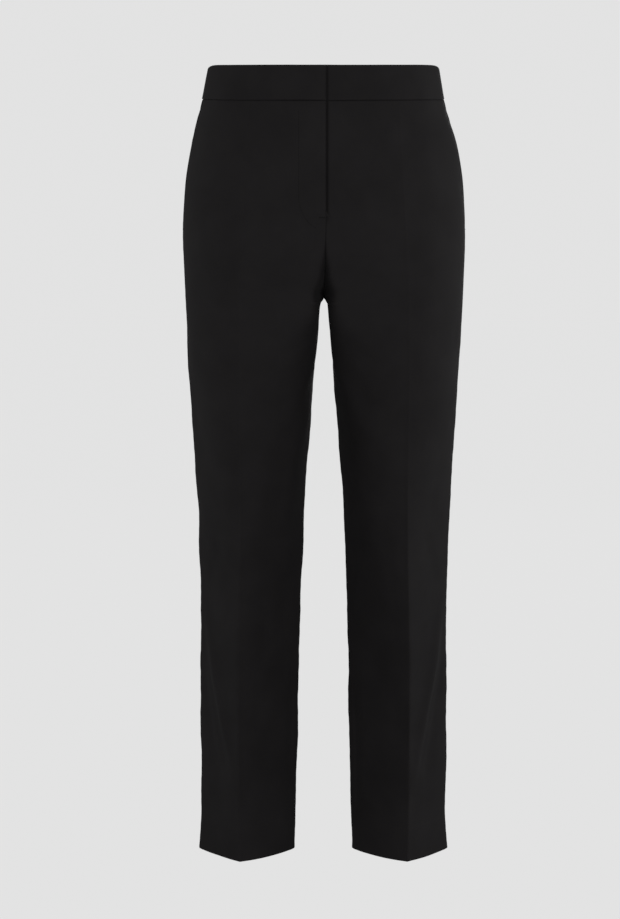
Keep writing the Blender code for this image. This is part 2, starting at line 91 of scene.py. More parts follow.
# The rings of a leg, as in part.py: distances from the middle of the body, how far the foremost
# and rearmost points have moved towards the crease, depths, and how square each quarter is.
SECTIONS = [
    Section(0, 137.0, -137.0, 86.0, 0.00, 90, 96, 2.20, 2.20, 2.15, 2.15),
    Section(41, 145.5, -145.5, 88.0, 0.00, 95, 102, 2.20, 2.20, 2.15, 2.15),
    Section(90, 158.5, -158.5, 90.0, 0.00, 104, 114, 2.20, 2.20, 2.15, 2.15),
    Section(138, 166.8, -166.8, 92.5, 0.0, 109.0, 123.0, 2.22, 2.22, 2.15, 2.15),
    Section(150, 168.0, -168.0, 93.2, 0.0, 109.8, 124.6, 2.23, 2.23, 2.15, 2.15),
    Section(165, 169.2, -163.0, 94.1, 0.03, 110.5, 126.0, 2.24, 2.24, 2.15, 2.16),
    Section(186, 170.2, -135.0, 95.4, 0.14, 111.0, 127.0, 2.25, 2.45, 2.15, 2.30),
    Section(212, 170.0, -63.0, 96.8, 0.35, 109.8, 126.1, 2.24, 3.70, 2.14, 2.90),
    Section(236, 169.4, -9.0, 98.0, 0.59, 108.0, 124.2, 2.22, 8.00, 2.12, 4.30),
    Section(257, 168.7, -1.3, 99.0, 0.765, 106.1, 121.5, 2.19, 13.50, 2.10, 5.20),
    Section(269, 168.3, -0.15, 99.6, 0.84, 104.7, 119.6, 2.165, 16.00, 2.085, 5.40),
    Section(277, 168.0, 0.0, 99.9, 0.872, 103.9, 118.2, 2.147, 16.00, 2.071, 5.30),
    Section(280, 167.95, 3.2, 100.0, 0.885, 103.6, 117.75, 2.14, 15.40, 2.066, 5.20),
    Section(285, 167.8, 4.5, 100.1, 0.90, 103.0, 116.9, 2.126, 13.80, 2.058, 5.00),
    Section(292, 167.5, 5.3, 100.3, 0.92, 102.3, 115.6, 2.107, 11.20, 2.042, 4.60),
    Section(315, 166.5, 7.2, 100.8, 0.96, 99.7, 111.8, 2.03, 6.40, 1.99, 3.40),
    Section(339, 165.2, 9.9, 101.0, 0.988, 97.2, 108.0, 1.957, 4.10, 1.937, 2.70),
    Section(370, 163.3, 12.3, 101.0, 1.0, 94.0, 103.5, 1.87, 2.80, 1.87, 2.30),
    Section(405, 161.0, 14.3, 100.6, 1.0, 90.6, 98.9, 1.785, 2.16, 1.80, 2.07),
    Section(504, 155.6, 22.0, 100.0, 1.0, 82.2, 88.2, 1.585, 1.74, 1.645, 1.80),
    Section(579, 153.5, 25.4, 100.6, 1.0, 76.4, 82.0, 1.465, 1.58, 1.545, 1.70),
    Section(654, 151.7, 28.5, 102.4, 1.0, 71.2, 77.2, 1.37, 1.48, 1.465, 1.62),
    Section(780, 152.6, 31.0, 104.0, 1.0, 65.0, 71.2, 1.26, 1.38, 1.365, 1.53),
    Section(922, 152.3, 35.0, 103.5, 1.0, 61.0, 67.2, 1.20, 1.34, 1.30, 1.48),
    Section(969, 154.5, 36.3, 102.6, 1.0, 61.0, 66.2, 1.20, 1.34, 1.30, 1.48),
]

# The form is worked out once on a lattice of rings this far apart, with this many cells in
# each quarter of a turn, and then read at any place. FAIRING is how far heights are evened out,
# and NORMAL_REACH how many cells to each side give the outward direction.
RING_STEP = 1.0
QUARTER_CELLS = 160
QUARTER_POINTS = 200
FAIRING = 3.0
NORMAL_REACH = 4


def section_column(column, below):
    """A column of SECTIONS at many heights, on the smooth curve that never overshoots its rows."""
    at = np.array([row.below for row in SECTIONS], float)
    value = np.array([getattr(row, column) for row in SECTIONS], float)
    gap = np.diff(at)
    slope = np.diff(value) / gap
    tangent = np.concatenate([[slope[0]], np.zeros(len(slope) - 1), [slope[-1]]])
    for k in range(1, len(slope)):
        if slope[k - 1] * slope[k] > 0:
            one, two = 2 * gap[k] + gap[k - 1], gap[k] + 2 * gap[k - 1]
            tangent[k] = (one + two) / (one / slope[k - 1] + two / slope[k])
    k = np.clip(np.searchsorted(at, below, side="right") - 1, 0, len(slope) - 1)
    t = (below - at[k]) / gap[k]
    rise = t * t * (3 - 2 * t)
    bend = gap[k] * t * (1 - t) * ((1 - t) * tangent[k] - t * tangent[k + 1])
    return value[k] * (1 - rise) + value[k + 1] * rise + bend


def evened(values, width):
    """values with their changes from row to row spread over width, and the ends kept."""
    reach = int(3 * width)
    weights = np.exp(-((np.arange(-reach, reach + 1) / width) ** 2) / 2)
    weights /= weights.sum()
    above = 2 * values[:1] - values[reach:0:-1]
    under = 2 * values[-1:] - values[-2 : -reach - 2 : -1]
    padded = np.concatenate([above, values, under])
    return sum(w * padded[k : k + len(values)] for k, w in enumerate(weights))


def leg_form():
    """Lattices of the left leg: x, y, length round the ring, and outward direction."""
    heights = np.arange(0, LENGTH + RING_STEP / 2, RING_STEP)
    s = Section(heights, *(section_column(c, heights) for c in Section._fields[1:]))
    angle = np.linspace(0, math.pi / 2, QUARTER_POINTS)

    def quarter(depth, end, roundness):
        across = np.sin(angle) ** (2 / roundness[:, None])
        along = np.cos(angle) ** (2 / roundness[:, None])
        start = (s.crease * s.lobe)[:, None]
        return np.stack([start + (end[:, None] - start) * across, depth[:, None] * along], axis=2)

    quarters = [
        quarter(-s.front, s.inner, s.front_inner)[:, ::-1],
        quarter(-s.front, s.side, s.front_outer)[:, 1:],
        quarter(s.back, s.side, s.back_outer)[:, -2::-1],
        quarter(s.back, s.inner, s.back_inner)[:, 1:],
    ]
    turns = np.linspace(0, 4, 4 * QUARTER_CELLS + 1)
    rings = np.concatenate(quarters, axis=1)
    half = 2 * QUARTER_POINTS - 2
    places = np.empty((len(heights), len(turns), 2))
    for k, points in enumerate(rings):
        steps = np.linalg.norm(np.diff(points, axis=0), axis=1)
        length = np.concatenate([[0.0], np.cumsum(steps)])
        marks = [
            0.0,
            np.interp(s.crease[k], points[: half + 1, 0], length[: half + 1]),
            length[half],
            np.interp(-s.crease[k], -points[half:, 0], length[half:]),
            length[-1],
        ]
        at = np.interp(turns, range(5), marks)
        for axis in (0, 1):
            places[k, :, axis] = np.interp(at, length, points[:, axis])
    places = evened(places, FAIRING / RING_STEP)
    steps = np.linalg.norm(np.diff(places, axis=1), axis=2)
    arc = np.concatenate([np.zeros((len(heights), 1)), np.cumsum(steps, axis=1)], axis=1)

    before, after = places[:, -NORMAL_REACH - 1 : -1], places[:, 1 : NORMAL_REACH + 1]
    wrapped = np.concatenate([before, places, after], axis=1)
    along = wrapped[:, 2 * NORMAL_REACH :] - wrapped[:, : -2 * NORMAL_REACH]
    up = -np.gradient(places, RING_STEP, axis=0)
    normal = np.cross(
        np.concatenate([along, np.zeros_like(along[..., :1])], axis=2),
        np.concatenate([up, np.ones_like(up[..., :1])], axis=2),
    )
    normal /= np.linalg.norm(normal, axis=2, keepdims=True)
    return turns, places[..., 0], places[..., 1], arc, normal


TURNS, FORM_X, FORM_Y, FORM_ARC, FORM_OUT = leg_form()


def read_form(lattice, turn, below):
    """A lattice of the form at any turns and heights."""
    turn, below = np.broadcast_arrays(np.asarray(turn, float), np.asarray(below, float))
    u = np.clip(turn, 0, 4) * QUARTER_CELLS
    v = np.clip(below, 0, LENGTH) / RING_STEP
    i = np.minimum(v.astype(int), lattice.shape[0] - 2)
    j = np.minimum(u.astype(int), lattice.shape[1] - 2)
    v, u = v - i, u - j
    if lattice.ndim == 3:
        v, u = v[..., None], u[..., None]
    upper = lattice[i, j] * (1 - u) + lattice[i, j + 1] * u
    lower = lattice[i + 1, j] * (1 - u) + lattice[i + 1, j + 1] * u
    return upper * (1 - v) + lower * v


def turn_at_x(x, below, back=False):
    """The turn at which the front, or the back, of one ring is x from the middle."""
    across = read_form(FORM_X, TURNS, below)
    half = 2 * QUARTER_CELLS
    if back:
        return np.interp(-np.asarray(x, float), -across[half:], TURNS[half:])
    return np.interp(x, across[: half + 1], TURNS[: half + 1])


def turn_at_arc(arc, below):
    """The turn at a length round one ring."""
    return np.interp(arc, read_form(FORM_ARC, TURNS, below), TURNS)


def eased(share):
    """0 before 0, 1 after 1, and a smooth step between."""
    share = np.clip(share, 0.0, 1.0)
    return share * share * (3 - 2 * share)


Fold = namedtuple("Fold", "turn_from below_from turn_to below_to height spread")

# The largest folds, as in part.py: lines on a leg, how far the cloth stands out along them
# (less than 0 is a trough), and half their width. Both legs have them, mirrored.
FOLDS = [
    Fold(1.86, 650, 1.08, 872, 2.4, 10),
    Fold(1.92, 742, 1.40, 905, -1.8, 12),
    Fold(1.30, 560, 1.72, 640, -1.2, 13),
    Fold(0.16, 740, 0.12, 930, -1.6, 8),
    Fold(0.12, 312, 0.72, 452, 1.6, 13),
    Fold(0.30, 290, 0.90, 372, -1.3, 14),
    Fold(1.95, 330, 1.88, 520, 1.4, 15),
    Fold(3.60, 296, 2.95, 356, -2.4, 11),
    Fold(3.72, 330, 3.05, 420, 2.0, 12),
    Fold(3.40, 385, 2.60, 452, -1.5, 14),
    Fold(3.55, 560, 2.70, 612, -2.0, 11),
    Fold(2.35, 548, 3.10, 640, 1.8, 12),
    Fold(2.20, 690, 2.88, 862, 2.2, 11),
    Fold(3.80, 700, 3.25, 850, -1.6, 12),
]

# A fold fades out towards its ends along the top of a half wave, which leaves out this share of
# the wave at either end and is made fuller by this power.
FOLD_END, FOLD_FULLNESS = 0.06, 0.6

# Smaller ones of the hanging cloth, which differ from leg to leg.
LEFT_FOLDS = [
    Fold(1.80, 668, 1.10, 862, 1.8, 7),
    Fold(1.94, 700, 1.46, 868, -1.7, 9),
    Fold(0.44, 340, 0.50, 560, 3.2, 22),
    Fold(0.78, 560, 0.86, 700, -0.8, 9),
    Fold(2.20, 520, 2.62, 600, -0.9, 10),
    Fold(3.30, 620, 2.90, 700, 1.0, 9),
    Fold(2.70, 236, 2.20, 292, -0.9, 12),
]
RIGHT_FOLDS = [
    Fold(1.68, 700, 1.16, 846, 1.9, 7.5),
    Fold(1.90, 725, 1.62, 860, -1.2, 8),
    Fold(0.62, 640, 0.74, 790, -0.8, 10),
    Fold(0.40, 380, 0.44, 560, 2.2, 18),
    Fold(2.30, 650, 2.74, 742, 0.9, 9),
    Fold(3.24, 520, 2.84, 588, -0.9, 10),
    Fold(2.60, 262, 2.16, 330, 0.9, 12),
]


def folds_height(folds, turn, below):
    """How far the folds move the cloth out at these places."""
    here = read_form(FORM_ARC, turn, below)
    around = read_form(FORM_ARC, 4.0, below)
    height = np.zeros(np.shape(here))
    for fold in folds:
        start = read_form(FORM_ARC, fold.turn_from, below)
        run_x = read_form(FORM_ARC, fold.turn_to, below) - start
        run_y = fold.below_to - fold.below_from
        away, share = np.full(height.shape, np.inf), np.zeros(height.shape)
        for lap in (-1, 0, 1):
            x, y = here + lap * around - start, below - fold.below_from
            t = np.clip((x * run_x + y * run_y) / (run_x**2 + run_y**2), 0, 1)
            distance = np.hypot(x - t * run_x, y - t * run_y)
            nearer = distance < away
            away, share = np.where(nearer, distance, away), np.where(nearer, t, share)
        strength = np.sin(math.pi * (FOLD_END + (1 - 2 * FOLD_END) * share)) ** FOLD_FULLNESS
        height += fold.height * strength * np.exp(-((away / fold.spread) ** 2))
    return height


# The cloth is never quite even. Slow waves of these lengths run through it, each this high, and
# more of them run round the legs than up and down.
WAVE_LENGTHS = (34, 45, 60, 80, 105, 140)
WAVE_HEIGHTS = (0.065, 0.09, 0.12, 0.15, 0.16, 0.17)
WAVES_EACH = 5
WAVES_UPRIGHT = (1.0, 1.0, 0.55)
wave_source = np.random.default_rng(11)
WAVES = []
for wave_length, wave_height in zip(WAVE_LENGTHS, WAVE_HEIGHTS):
    for _ in range(WAVES_EACH):
        heading = wave_source.normal(size=3) * WAVES_UPRIGHT
        heading /= np.linalg.norm(heading)
        phase = wave_source.uniform(0, 2 * math.pi)
        WAVES.append((heading * 2 * math.pi / wave_length, phase, wave_height))


def waviness(points):
    """The height of the slow waves at these points."""
    height = np.zeros(points.shape[:-1])
    for heading, phase, reach in WAVES:
        height += reach * np.sin(points @ heading + phase)
    return height


def on_garment(side, turn, below, lift, from_middle=None, aside=0.0, recess=0.0):
    """Points of the garment, moved out by lift. side is 1 on the wearer's left, -1 right.
    from_middle is the distance from a centre seam, which is held in the middle plane, aside is
    how far the cloth stands away from that plane, and recess how far it is drawn back."""
    turn, below, lift = np.broadcast_arrays(*(np.asarray(v, float) for v in (turn, below, lift)))
    x, y = read_form(FORM_X, turn, below), read_form(FORM_Y, turn, below)
    least = np.where(below > FORK_TOP, 0.0, -np.inf)
    x = np.maximum(x, least)
    points = np.stack([x, y, -below], axis=-1)
    even = points * (side, 1, 1)
    rise = lift + folds_height(FOLDS + (LEFT_FOLDS if side > 0 else RIGHT_FOLDS), turn, below)
    rise = rise + waviness(even)
    points = points + rise[..., None] * read_form(FORM_OUT, turn, below)
    if from_middle is not None:
        between_legs = (below > FORK_TOP) & (below < INSEAM_FREE)
        held = np.where(between_legs, np.exp(-((x / WALL_HOLD) ** 2)), 0.0)
        held = np.maximum(held, np.exp(-((from_middle / SEAM_HOLD) ** 2)))
        points[..., 0] += held * (x - points[..., 0])
    points[..., 0] = np.maximum(points[..., 0] + aside, least)
    points[..., 1] += recess
    points[..., 0] *= side
    middle = np.where(y < 0, np.exp(-((x / SEAM_DRIFT_WIDTH) ** 2)), 0.0)
    drift = SEAM_DRIFT * (1 - eased((below - FLY_END) / (CROTCH - FLY_END)))
    points[..., 0] += drift * middle
    return points


def add_object(name, data):
    """A new object in the scene, at the origin."""
    made = bpy.data.objects.new(name, data)
    bpy.context.scene.collection.objects.link(made)
    return made


def closed_shell(name, outer, inner, flat_u, flat_v, material):
    """A cloth piece between two grids of points, with its flat cut as its UV map in metres."""
    rows, columns = outer.shape[:2]
    points = np.concatenate([outer.reshape(-1, 3), inner.reshape(-1, 3)]) * MM
    grid = np.arange(rows * columns).reshape(rows, columns)
    back = grid + rows * columns

    def quads(a, b, c, d):
        return np.stack([a.ravel(), b.ravel(), c.ravel(), d.ravel()], axis=1)

    faces = [
        quads(grid[:-1, :-1], grid[1:, :-1], grid[1:, 1:], grid[:-1, 1:]),
        quads(back[:-1, :-1], back[:-1, 1:], back[1:, 1:], back[1:, :-1]),
        quads(grid[:-1, 0], back[:-1, 0], back[1:, 0], grid[1:, 0]),
        quads(grid[1:, -1], back[1:, -1], back[:-1, -1], grid[:-1, -1]),
        quads(grid[0, 1:], back[0, 1:], back[0, :-1], grid[0, :-1]),
        quads(grid[-1, :-1], back[-1, :-1], back[-1, 1:], grid[-1, 1:]),
    ]
    faces = np.concatenate(faces)
    a, b, c, d = (points[faces[:, k]] for k in range(4))
    volume = np.einsum("ij,ij->", a, np.cross(b, c) + np.cross(c, d))
    if volume < 0:
        faces = faces[:, ::-1]
    mesh = bpy.data.meshes.new(name)
    mesh.from_pydata(points.tolist(), [], faces.tolist())
    flat = np.stack([flat_u.ravel(), flat_v.ravel()], axis=1) * MM
    flat = np.concatenate([flat, flat])[faces.ravel()]
    mesh.uv_layers.new(name="cut").data.foreach_set("uv", flat.ravel())
    mesh.shade_smooth()
    mesh.materials.append(material)
    return add_object(name, mesh)


def round_edge(distance, radius):
    """0 away from an edge and 1 at it, on a quarter circle of this radius."""
    near = np.clip(1 - distance / radius, 0, 1)
    return 1 - np.sqrt(1 - near * near)


def linear(hex_colour):
    """An sRGB hex colour as linear red, green, blue and alpha."""
    parts = [int(hex_colour[k : k + 2], 16) / 255 for k in (1, 3, 5)]
    return [p / 12.92 if p <= 0.04045 else ((p + 0.055) / 1.055) ** 2.4 for p in parts] + [1.0]


def add_node(tree, kind, settings=(), inputs=(), links=()):
    """Adds a node. settings and inputs are (name, value) pairs, links (input, socket) pairs."""
    node = tree.nodes.new(kind)
    for key, value in settings:
        setattr(node, key, value)
    for key, value in inputs:
        node.inputs[key].default_value = value
    for key, socket in links:
        tree.links.new(socket, node.inputs[key])
    return node


def new_material(name, finish):
    """A material, its node tree and its surface. finish are (socket, value) pairs."""
    material = bpy.data.materials.new(name)
    material.use_nodes = True
    surface = material.node_tree.nodes["Principled BSDF"]
    for socket, value in finish:
        surface.inputs[socket].default_value = value
    return material, material.node_tree, surface


def worsted_suiting():
    """Black worsted wool: matt, with a fine twill that only shows as a slight grain, and a
    short nap that lightens where the cloth turns away."""
    finish = [
        ("Roughness", 0.82), ("Specular IOR Level", 0.22), ("Sheen Weight", 0.02),
        ("Sheen Roughness", 0.45), ("Sheen Tint", linear("#d8d4d6")),
    ]
    material, tree, surface = new_material("black_worsted_suiting", finish)
    cut = add_node(tree, "ShaderNodeUVMap", [("uv_map", "cut")]).outputs["UV"]
    place = add_node(tree, "ShaderNodeTexCoord").outputs["Object"]

    # Dye and wear vary slowly, over about 60 mm, and yarn by yarn.
    slow = add_node(
        tree, "ShaderNodeTexNoise", (), [("Scale", 16.0), ("Detail", 3.0), ("Roughness", 0.6)],
        [("Vector", place)],
    )
    yarn_room = add_node(
        tree, "ShaderNodeMapping", (), [("Scale", (2600.0, 420.0, 1.0))], [("Vector", cut)]
    )
    yarns = add_node(
        tree, "ShaderNodeTexNoise", (), [("Scale", 1.0), ("Detail", 2.0)],
        [("Vector", yarn_room.outputs["Vector"])],
    )
    uneven = add_node(
        tree, "ShaderNodeMix", [("data_type", "FLOAT")], [("Factor", 0.4)],
        [("A", slow.outputs["Fac"]), ("B", yarns.outputs["Fac"])],
    )
    shades = add_node(tree, "ShaderNodeValToRGB", (), (), [("Fac", uneven.outputs["Result"])])
    shades.color_ramp.elements[0].position = 0.34
    shades.color_ramp.elements[0].color = linear("#181617")
    shades.color_ramp.elements[1].position = 0.66
    shades.color_ramp.elements[1].color = linear("#201e1f")
    tree.links.new(shades.outputs["Color"], surface.inputs["Base Color"])

    # The twill's ribs lie 1.1 mm apart here. Real ones, about 0.5 mm, are too fine to show.
    ribs_room = add_node(
        tree, "ShaderNodeMapping", (),
        [("Rotation", (0.0, 0.0, math.radians(27))), ("Scale", (1000.0, 1000.0, 1000.0))],
        [("Vector", cut)],
    )
    ribs = add_node(
        tree, "ShaderNodeTexWave",
        [("wave_type", "BANDS"), ("bands_direction", "X"), ("wave_profile", "SIN")],
        [("Scale", 0.29), ("Distortion", 0.6), ("Detail", 1.0), ("Detail Scale", 0.6)],
        [("Vector", ribs_room.outputs["Vector"])],
    )
    grain = add_node(
        tree, "ShaderNodeMix", [("data_type", "FLOAT")], [("Factor", 0.45)],
        [("A", ribs.outputs["Fac"]), ("B", yarns.outputs["Fac"])],
    )
    bump = add_node(
        tree, "ShaderNodeBump", (), [("Strength", 0.5), ("Distance", 0.00012)],
        [("Height", grain.outputs["Result"])],
    )
    tree.links.new(bump.outputs["Normal"], surface.inputs["Normal"])
    return material


SUITING = worsted_suiting()


def suiting_piece(name, outer, inner, flat_u, flat_v):
    """A shell of the suiting, which stands for the node that its name begins with."""
    piece = closed_shell(name, outer, inner, flat_u, flat_v, SUITING)
    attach(piece, "root")
    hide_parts(name.replace("_cloth", ""))
    return piece


# Where the mesh has its columns: distances from an edge, from a crease, and even ones between.
EDGE_COLUMNS = (0.0, 0.1, 0.35, 0.8, 1.5, 2.6, 4.2, 6.5)
CREASE_COLUMNS = (9.0, 6.0, 3.8, 2.2, 1.1, 0.4, 0.0)
CORNER, CORNER_COLUMNS, CORNER_CLOSE = 10.0, 15, 1.7
MIDDLE_COLUMNS, MIDDLE_CLOSE = 24, 1.4
OUTER_COLUMNS = 28
EDGE_ROWS = EDGE_COLUMNS + (9.5,)
HEM_ROWS = (-3.0, -1.6, -0.8, 0.0, 0.8, 1.6, 3.0)
ROW_STEP = 3.2
FORK, FORK_ROWS, FORK_CLOSE = 48.0, 26, 1.5
HEM_TOP = LENGTH - HEM_TURN_UP
WAIST_SEAM = BAND_HEIGHT

# Sewing leaves marks: seams roll in, their allowances lift the cloth, and it puckers in waves.
SEAM_ROLL, SEAM_ROLL_WIDTH = 0.75, 1.5
WAIST_ROLL, WAIST_ROLL_WIDTH = 1.25, 2.1
SEAM_ALLOWANCE, ALLOWANCE_RISE, ALLOWANCE_DEPTH, ALLOWANCE_EDGE = 11.0, 0.28, 0.7, 0.8
PUCKER, PUCKER_WIDTH, PUCKER_LENGTHS = 0.16, 9.0, (3.1, 8.7, 5.3)
HEM_PRINT, PRINT_EDGE = 0.22, 3.0
DART_LENGTH, DART_DITCH, DART_WIDTH = 110.0, 0.85, 0.9

# Pressing: the crease is softer over the hips, and the flat faces beside it start above the
# knee. At the hem they are rounder again. CREASE_TIP is how blunt the ridge's top is.
CREASE_RISE, CREASE_WIDTH, CREASE_AT_HIPS, CREASE_TIP = 1.15, 2.4, 0.28, 0.12
CREASE_STARTS, CREASE_FULL = 110.0, 420.0
FACET_RISE, FACET_WIDTH, FACET_FLAT = 2.4, 12.0, 4.2
FACETS_START, FACETS_FULL = 420.0, 600.0
HEM_ROUNDS, HEM_ROUNDNESS = 850.0, 0.85

# The dark cleft between the thighs. By side, how far the fronts stand apart and how wide the
# hollow is. Heights are distances below the waist, the others are lengths across and inwards.
PARTING = {1: 2.8, -1: 5.0}
PARTING_TOP, PARTING_FULL, PARTING_END = 198.0, 268.0, 294.0
PARTING_WALL, PARTING_DEPTH, PARTING_NEAR, PARTING_FADE = 50.0, 34.0, 8.0, 60.0
CLEFT, CLEFT_NARROW, CLEFT_DEPTH = 34.0, 1.5, 60.0
CLEFT_WIDE = {1: 3.6, -1: 2.3}
CLEFT_FADES, CLEFT_END = 274.0, 312.0
INSEAM_HELD, INSEAM_FREE, INSEAM_REACH = 278.5, 282.5, 7.0

# The fly: how far the left front runs on under the right one, how deep it lies, the ditch
# beside the right one's edge, that edge's roll, and how soon the lap comes to an end.
FLY_REACH, FLY_LAYER = 8.0, 1.5
FLY_DITCH, FLY_DITCH_X, FLY_DITCH_WIDTH, DITCH_BEFORE = 3.2, 0.1, 2.1, 4.0
FLY_ROLL, FLY_ROLL_WIDTH = 1.5, 3.0
FLY_CORNER, FLY_CORNER_FADE = 1.6, 30.0
LAP_RELEASE, LAP_FLAT, EASE_WIDTH = 10.0, 4.0, 34.0

# The slanted pocket mouth, which gapes a little. Here and at the fly's end a folded edge starts
# to turn into a seam MOUTH_BEFORE its end, and takes MOUTH_FADE to do so.
POCKET_SLANT, POCKET_LENGTH = 22.0, 160.0
POCKET_GAPE, GAPE_WIDTH = 0.9, 16.0
MOUTH_BEFORE, MOUTH_FADE = 6.0, 8.0


def panel_rows():
    """The heights of a leg's rows, closest together at its edges and at the crotch."""
    top = [WAIST_SEAM + d for d in EDGE_ROWS]
    hem = [LENGTH - d for d in EDGE_ROWS[::-1]]
    over, under = CROTCH - FORK, CROTCH + FORK
    rows = top + list(np.arange(top[-1] + ROW_STEP, over - ROW_STEP / 2, ROW_STEP))
    rows += [CROTCH - FORK * (1 - k / FORK_ROWS) ** FORK_CLOSE for k in range(FORK_ROWS)]
    rows += [CROTCH + FORK * (k / FORK_ROWS) ** FORK_CLOSE for k in range(FORK_ROWS)]
    rows += list(np.arange(under, HEM_TOP + HEM_ROWS[0] - 1, ROW_STEP))
    rows += [HEM_TOP + d for d in HEM_ROWS]
    rows += list(np.arange(rows[-1] + ROW_STEP, hem[0] - ROW_STEP / 2, ROW_STEP)) + hem
    return np.array(rows)


def between(first, last, count, closeness=1.0):
    """count columns between two others, closer together towards the first one."""
    share = np.arange(1, count + 1) / (count + 1)
    return first + (last - first) * share**closeness


def outer_columns(width):
    """Distances of the columns from an outer edge to the crease, for each row's width."""
    width = width[:, None]
    edge, crease = np.array(EDGE_COLUMNS)[None], np.array(CREASE_COLUMNS)[None]
    even = between(EDGE_COLUMNS[-1], width - CREASE_COLUMNS[0], OUTER_COLUMNS)
    return np.concatenate([edge + 0 * width, even, width - crease], axis=1)


def inner_columns(width, corner):
    """The same from an inner edge. Between the legs the cloth turns a corner, and the columns
    are closest together there."""
    width, corner = width[:, None], corner[:, None]
    edge, crease = np.array(EDGE_COLUMNS)[None], np.array(CREASE_COLUMNS)[None]
    wall = between(corner, EDGE_COLUMNS[-1], CORNER_COLUMNS, CORNER_CLOSE)[:, ::-1]
    front = between(corner, width - CREASE_COLUMNS[0], MIDDLE_COLUMNS, MIDDLE_CLOSE)
    return np.concatenate([edge + 0 * width, wall, corner, front, width - crease], axis=1)


def seam_edge(distance, along, roll=SEAM_ROLL, roll_width=SEAM_ROLL_WIDTH):
    """(outside, inside) heights at a seam: the roll into it, the allowance pressed open under
    it, and slight puckers along it."""
    roll = roll * round_edge(distance, roll_width)
    flat = 1 - eased((distance - SEAM_ALLOWANCE + PRINT_EDGE / 2) / PRINT_EDGE)
    short, slow, long = (along / length for length in PUCKER_LENGTHS)
    wave = np.sin(short) * np.sin(slow + 1) + 0.5 * np.sin(long + 2)
    pucker = PUCKER * wave * np.exp(-((distance / PUCKER_WIDTH) ** 2))
    under = 1 - eased((distance - SEAM_ALLOWANCE) / ALLOWANCE_EDGE)
    return ALLOWANCE_RISE * flat + pucker - roll, pucker - ALLOWANCE_DEPTH * under


def free_edge(distance, thickness):
    """(outside, inside) heights at a folded edge, where both sides meet in a round."""
    round_off = thickness / 2 * round_edge(distance, thickness / 2)
    return -round_off, round_off


def with_edges(outside, inside, *edges):
    """A wall's two heights with those of its edges and seams added."""
    for edge_outside, edge_inside in edges:
        outside, inside = outside + edge_outside, inside + edge_inside
    return outside, inside


def crease_height(distance, across, below):
    """The pressed crease: a sharp ridge, softer over the hips. Down the leg the cloth beside it
    is pressed flatter as well, less so at the hem, where two layers spring back. across is the
    share of the way from the crease to the seam."""
    strength = eased((below - CREASE_STARTS) / (CREASE_FULL - CREASE_STARTS))
    strength = CREASE_AT_HIPS + (1 - CREASE_AT_HIPS) * strength
    facets = eased((below - FACETS_START) / (FACETS_FULL - FACETS_START))
    facets = facets * (1 - HEM_ROUNDNESS * eased((below - HEM_ROUNDS) / (LENGTH - HEM_ROUNDS)))
    sharp = np.sqrt(distance**2 + CREASE_TIP)
    ridge = CREASE_RISE * strength * np.exp(-sharp / CREASE_WIDTH)
    flatter = FACET_FLAT * np.sin(math.pi * np.clip(across, 0, 1))
    return ridge + facets * (FACET_RISE * np.exp(-sharp / FACET_WIDTH) - flatter)


def dart_height(distance, below):
    """A waist dart: a stitched line that ends in a point."""
    share = np.clip((below - WAIST_SEAM) / DART_LENGTH, 0, 1)
    return -DART_DITCH * (1 - share**4) * np.exp(-((distance / DART_WIDTH) ** 2))


def cleft(side, turn, below, seam_depth):
    """(aside, recess) of the fronts at the fork, where a dark cleft shows between the thighs.
    They stand apart and are drawn in there. It closes towards the centre seam, seam_depth in
    front of the side seams, and the inseam's upper end holds them together."""
    x, y = np.maximum(read_form(FORM_X, turn, below), 0), read_form(FORM_Y, turn, below)
    share = np.clip((below - PARTING_TOP) / (PARTING_FULL - PARTING_TOP), 0, 1)
    parted = 1 - eased((below - PARTING_FULL) / (PARTING_END - PARTING_FULL))
    parted = parted * eased(share) ** 1.5
    drawn = share**2 * (1 - eased((below - CLEFT_FADES) / (CLEFT_END - CLEFT_FADES)))
    in_front = eased((-y - np.maximum(seam_depth, PARTING_WALL)) / PARTING_DEPTH)
    near = 1 - eased((x - PARTING_NEAR) / PARTING_FADE)
    held = 1 - eased((below - INSEAM_HELD) / (INSEAM_FREE - INSEAM_HELD))
    held = held * (below > CROTCH) * (1 - eased((x - INSEAM_REACH) / INSEAM_REACH))
    width = CLEFT_NARROW + (CLEFT_WIDE[side] - CLEFT_NARROW) * share**3
    recess = CLEFT * drawn * np.exp(-x * (1 - held) / width) * eased(-y / CLEFT_DEPTH)
    return PARTING[side] * parted * in_front * near - x * held, recess


